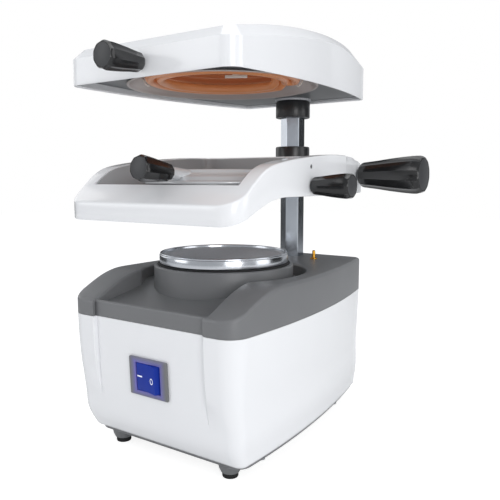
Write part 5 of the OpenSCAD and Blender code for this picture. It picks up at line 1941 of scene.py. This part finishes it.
    def under_plate(self) -> None:
        """Dark plate inside the shell, open round the reflector and the hub."""
        outline = self.plan.drawn_in(2.45).right(corner=8, along=20)
        rings = [both_sides(outline, lambda _: z) for z in (297.8, 299.3)]
        plate = Bench.loft("under_plate", rings, Ends.CAPPED)
        for radius, centre in ((self.dish_r - 2.0, (0.0, 0.0)), (17.7, COLUMN_AT)):
            Bench.cut(plate, Bench.peg("hole", radius, 290.0, 305.0, centre, 96))
        self.shop.finish(plate, "head", Look.UNDERSIDE, ["head_liner"], 30)

    def ceramic_tab(self) -> None:
        """Ceramic tab that hangs from the terminal block into the coil."""
        tab = Bench.box("ceramic_tab", (-9.0, -23.0, 300.9), (9.0, -20.5, 303.1), 0.4)
        arm = Bench.box("tab_arm", (-3.0, -22.4, 303.0), (3.0, -20.6, 316.0), 0.3)
        tab = Bench.join("ceramic_tab", [tab, arm])
        Bench.turn(tab, placed((8.5, 10.5, 0.0), math.radians(30), "Z"))
        self.shop.finish(tab, "head", Look.CERAMIC, ["terminal_block"], 30, False)

    def build(self) -> None:
        """Builds the head's pieces and dresses those that keep their own shape."""
        self.shell()
        self.heater()
        self.clips()
        self.reflector()
        self.under_plate()
        self.ceramic_tab()
        for node, look in (
            ("terminal_block", Look.CERAMIC),
            ("head_hub", Look.HUB),
            ("pivot_fastener", Look.STEEL),
        ):
            self.shop.dress(node, look, 0.3)


@dataclass
class Works:
    """The parts inside and at the rear, which keep their own shape, and the pin's spring."""

    shop: Shop
    spring_low: float = 128.45
    spring_high: float = 133.25
    spring_r: float = 2.4
    wire_r: float = 0.4
    turns: int = 3
    dressed: tuple[tuple[Look, float, tuple[str, ...]], ...] = (
        (Look.STEEL, 0.0, ("plate_screws", "column_bolt", "inlet_screws", "column_socket")),
        (Look.STEEL, 0.0, ("motor_housing", "turbine_casing", "field_core", "fan_wheel")),
        (Look.STEEL, 0.0, ("motor_armature", "motor_bearings", "pin_bracket")),
        (Look.COPPER, 0.4, ("field_coils",)),
        (Look.RUBBER, 0.0, ("intake_gasket", "motor_mount")),
        (Look.BLACK, 0.4, ("mains_inlet", "fuse_holder")),
        (Look.BLACK, 0.0, ("micro_switch",)),
    )

    def spring(self) -> None:
        """The pin's return spring, wound smooth between its shelf and the pin's collar."""
        steps = 40 * self.turns
        path = []
        for i in range(steps + 1):
            a = math.tau * self.turns * i / steps
            x = PIN_AT[0] + self.spring_r * math.cos(a)
            y = PIN_AT[1] + self.spring_r * math.sin(a)
            path.append((x, y, self.spring_low + (self.spring_high - self.spring_low) * i / steps))
        coil = Bench.sweep("spring_coil", path, self.wire_r, 10)
        self.shop.finish(coil, "base", Look.STEEL, ["pin_spring"], 60)

    def build(self) -> None:
        """Dresses the nodes and winds the spring."""
        for look, bevel, nodes in self.dressed:
            for node in nodes:
                self.shop.dress(node, look, bevel)
        self.spring()


# Studio


@dataclass
class Studio:
    """Pale floor, white surroundings, soft lamps and the photograph's camera."""

    lens: float = 43.49
    camera_at: Point = (0.3102, -0.4133, 0.2206)
    camera_down: float = 6.75
    camera_round: float = 34.4
    floor_size: float = 6.0
    floor_white: float = 1.7
    floor_share: float = 0.5
    aim: Point = (0.0, 0.0, 0.18)
    lamps: tuple[tuple[str, float, Spot, Point], ...] = (
        ("key", 11.0, (0.7, 1.3), (1.3, -0.95, 0.6)),
        ("fill_left", 4.5, (0.8, 1.2), (-1.1, -1.2, 0.8)),
        ("fill_right", 4.5, (0.8, 1.4), (1.5, 0.5, 0.5)),
        ("top", 8.0, (1.2, 1.2), (0.0, 0.0, 1.5)),
    )
    cards: tuple[tuple[str, float, Spot, Point], ...] = (
        ("dark_rear_right", 0.03, (1.0, 1.4), (0.95, 1.15, 0.35)),
        ("dark_rear_left", 0.05, (1.2, 0.7), (-0.9, 1.3, 0.3)),
        ("bright_left", 1.4, (0.5, 0.9), (-1.4, 0.2, 0.68)),
        ("dark_low_left", 0.06, (0.9, 0.5), (-1.2, 0.2, 0.0)),
    )

    def camera(self) -> None:
        """Puts the camera where the photograph was taken."""
        data = bpy.data.cameras.new("camera")
        data.lens = self.lens
        data.sensor_width = 36.0
        data.clip_start = 0.01
        camera = bpy.data.objects.new("camera", data)
        bpy.context.scene.collection.objects.link(camera)
        camera.location = self.camera_at
        camera.rotation_euler = (
            math.radians(90 - self.camera_down), 0.0, math.radians(self.camera_round)
        )
        bpy.context.scene.camera = camera

    def world(self) -> None:
        """White to the eye and through glass, softer in reflections and as light."""
        world = bpy.data.worlds.new("studio")
        bpy.context.scene.world = world
        world.use_nodes = True
        tree = world.node_tree
        tree.nodes.clear()

        def shade(colour: Point, strength: float) -> bpy.types.NodeSocket:
            """Background of one colour.

            Args:
                colour: the colour.
                strength: its strength.

            Returns:
                The shader.
            """
            made = tree.nodes.new("ShaderNodeBackground")
            made.inputs["Color"].default_value = (*colour, 1.0)
            made.inputs["Strength"].default_value = strength
            return made.outputs[0]

        def join(kind: str, *sources: bpy.types.NodeSocket) -> bpy.types.Node:
            """Adds a node and links its first inputs.

            Args:
                kind: the node's type.
                sources: what its inputs are linked to, in order.

            Returns:
                The node.
            """
            made = tree.nodes.new(kind)
            for source, socket in zip(sources, made.inputs):
                tree.links.new(source, socket)
            return made

        path = tree.nodes.new("ShaderNodeLightPath").outputs
        seen = join("ShaderNodeMath", path["Is Camera Ray"], path["Is Transmission Ray"])
        seen.operation = "MAXIMUM"
        ambient, glossy = shade((0.93, 0.96, 1.0), 0.4), shade((0.95, 0.97, 1.0), 0.5)
        unseen = join("ShaderNodeMixShader", path["Is Glossy Ray"], ambient, glossy)
        white = shade((1.0, 1.0, 1.0), 1.0)
        shown = join("ShaderNodeMixShader", seen.outputs[0], unseen.outputs[0], white)
        join("ShaderNodeOutputWorld", shown.outputs[0])

    def floor(self) -> None:
        """Pale floor that stays white to the eye but keeps a soft shadow."""
        Bench.clear()
        bpy.ops.mesh.primitive_plane_add(size=self.floor_size)
        floor = Bench.settle(bpy.context.object, "floor")
        g = Graph("pale_floor")
        seen = g.node("ShaderNodeLightPath", output="Is Camera Ray")
        lit = g.node(
            "ShaderNodeBsdfPrincipled", values={"Base Color": (0.9, 0.9, 0.9), "Roughness": 0.9}
        )
        white = g.emission((1.0, 1.0, 1.0), self.floor_white)
        mixed = g.node("ShaderNodeMixShader", values={0: seen * self.floor_share, 1: lit, 2: white})
        floor.data.materials.append(g.close(mixed))

    def lamp(self, name: str, power: float, size: Spot, at: Point) -> None:
        """Adds a soft rectangular lamp that looks at the machine.

        Args:
            name: the lamp's name.
            power: its power in watts.
            size: its width and height.
            at: its place.
        """
        data = bpy.data.lights.new(name, "AREA")
        data.shape = "RECTANGLE"
        data.size, data.size_y = size
        data.energy = power
        lamp = bpy.data.objects.new(name, data)
        bpy.context.scene.collection.objects.link(lamp)
        lamp.location = at
        lamp.rotation_euler = self.towards(at, "-Z")

    def card(self, name: str, tone: float, size: Spot, at: Point) -> None:
        """Adds a plain card that only reflections see.

        Args:
            name: the card's name.
            tone: its brightness.
            size: its width and height.
            at: its place.
        """
        Bench.clear()
        bpy.ops.mesh.primitive_plane_add(size=1.0)
        card = bpy.context.object
        card.scale = (*size, 1.0)
        card.location = at
        card.rotation_euler = self.towards(at, "Z")
        Bench.settle(card, name)
        g = Graph(name)
        card.data.materials.append(g.close(g.emission((tone, tone, tone), 1.0)))
        card.visible_camera = False
        card.visible_diffuse = False
        card.visible_shadow = False
        card.visible_transmission = False

    def towards(self, at: Point, axis: str) -> Euler:
        """Turn that points an axis from a place to the machine."""
        return (Vector(self.aim) - Vector(at)).to_track_quat(axis, "Y").to_euler()

    def build(self) -> None:
        """Sets up the studio."""
        self.world()
        self.floor()
        for row in self.lamps:
            self.lamp(*row)
        for row in self.cards:
            self.card(*row)
        bpy.context.scene.view_settings.view_transform = "Standard"


def main() -> None:
    """Builds the machine round its frame."""
    logging.basicConfig(level=logging.INFO, format="%(message)s")
    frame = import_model()
    studio = Studio()
    studio.camera()
    shop = Shop(frame)
    base = Base(shop)
    parts = [base, Cover(shop), Chamber(shop), Switch(shop, base), Column(shop)]
    parts += [Carriage(shop), Handles(shop), Head(shop), Works(shop)]
    for part in parts:
        part.build()
    studio.build()
    LOG.info("pieces dressed: %d", len(shop.done))


if __name__ == "__main__":
    main()
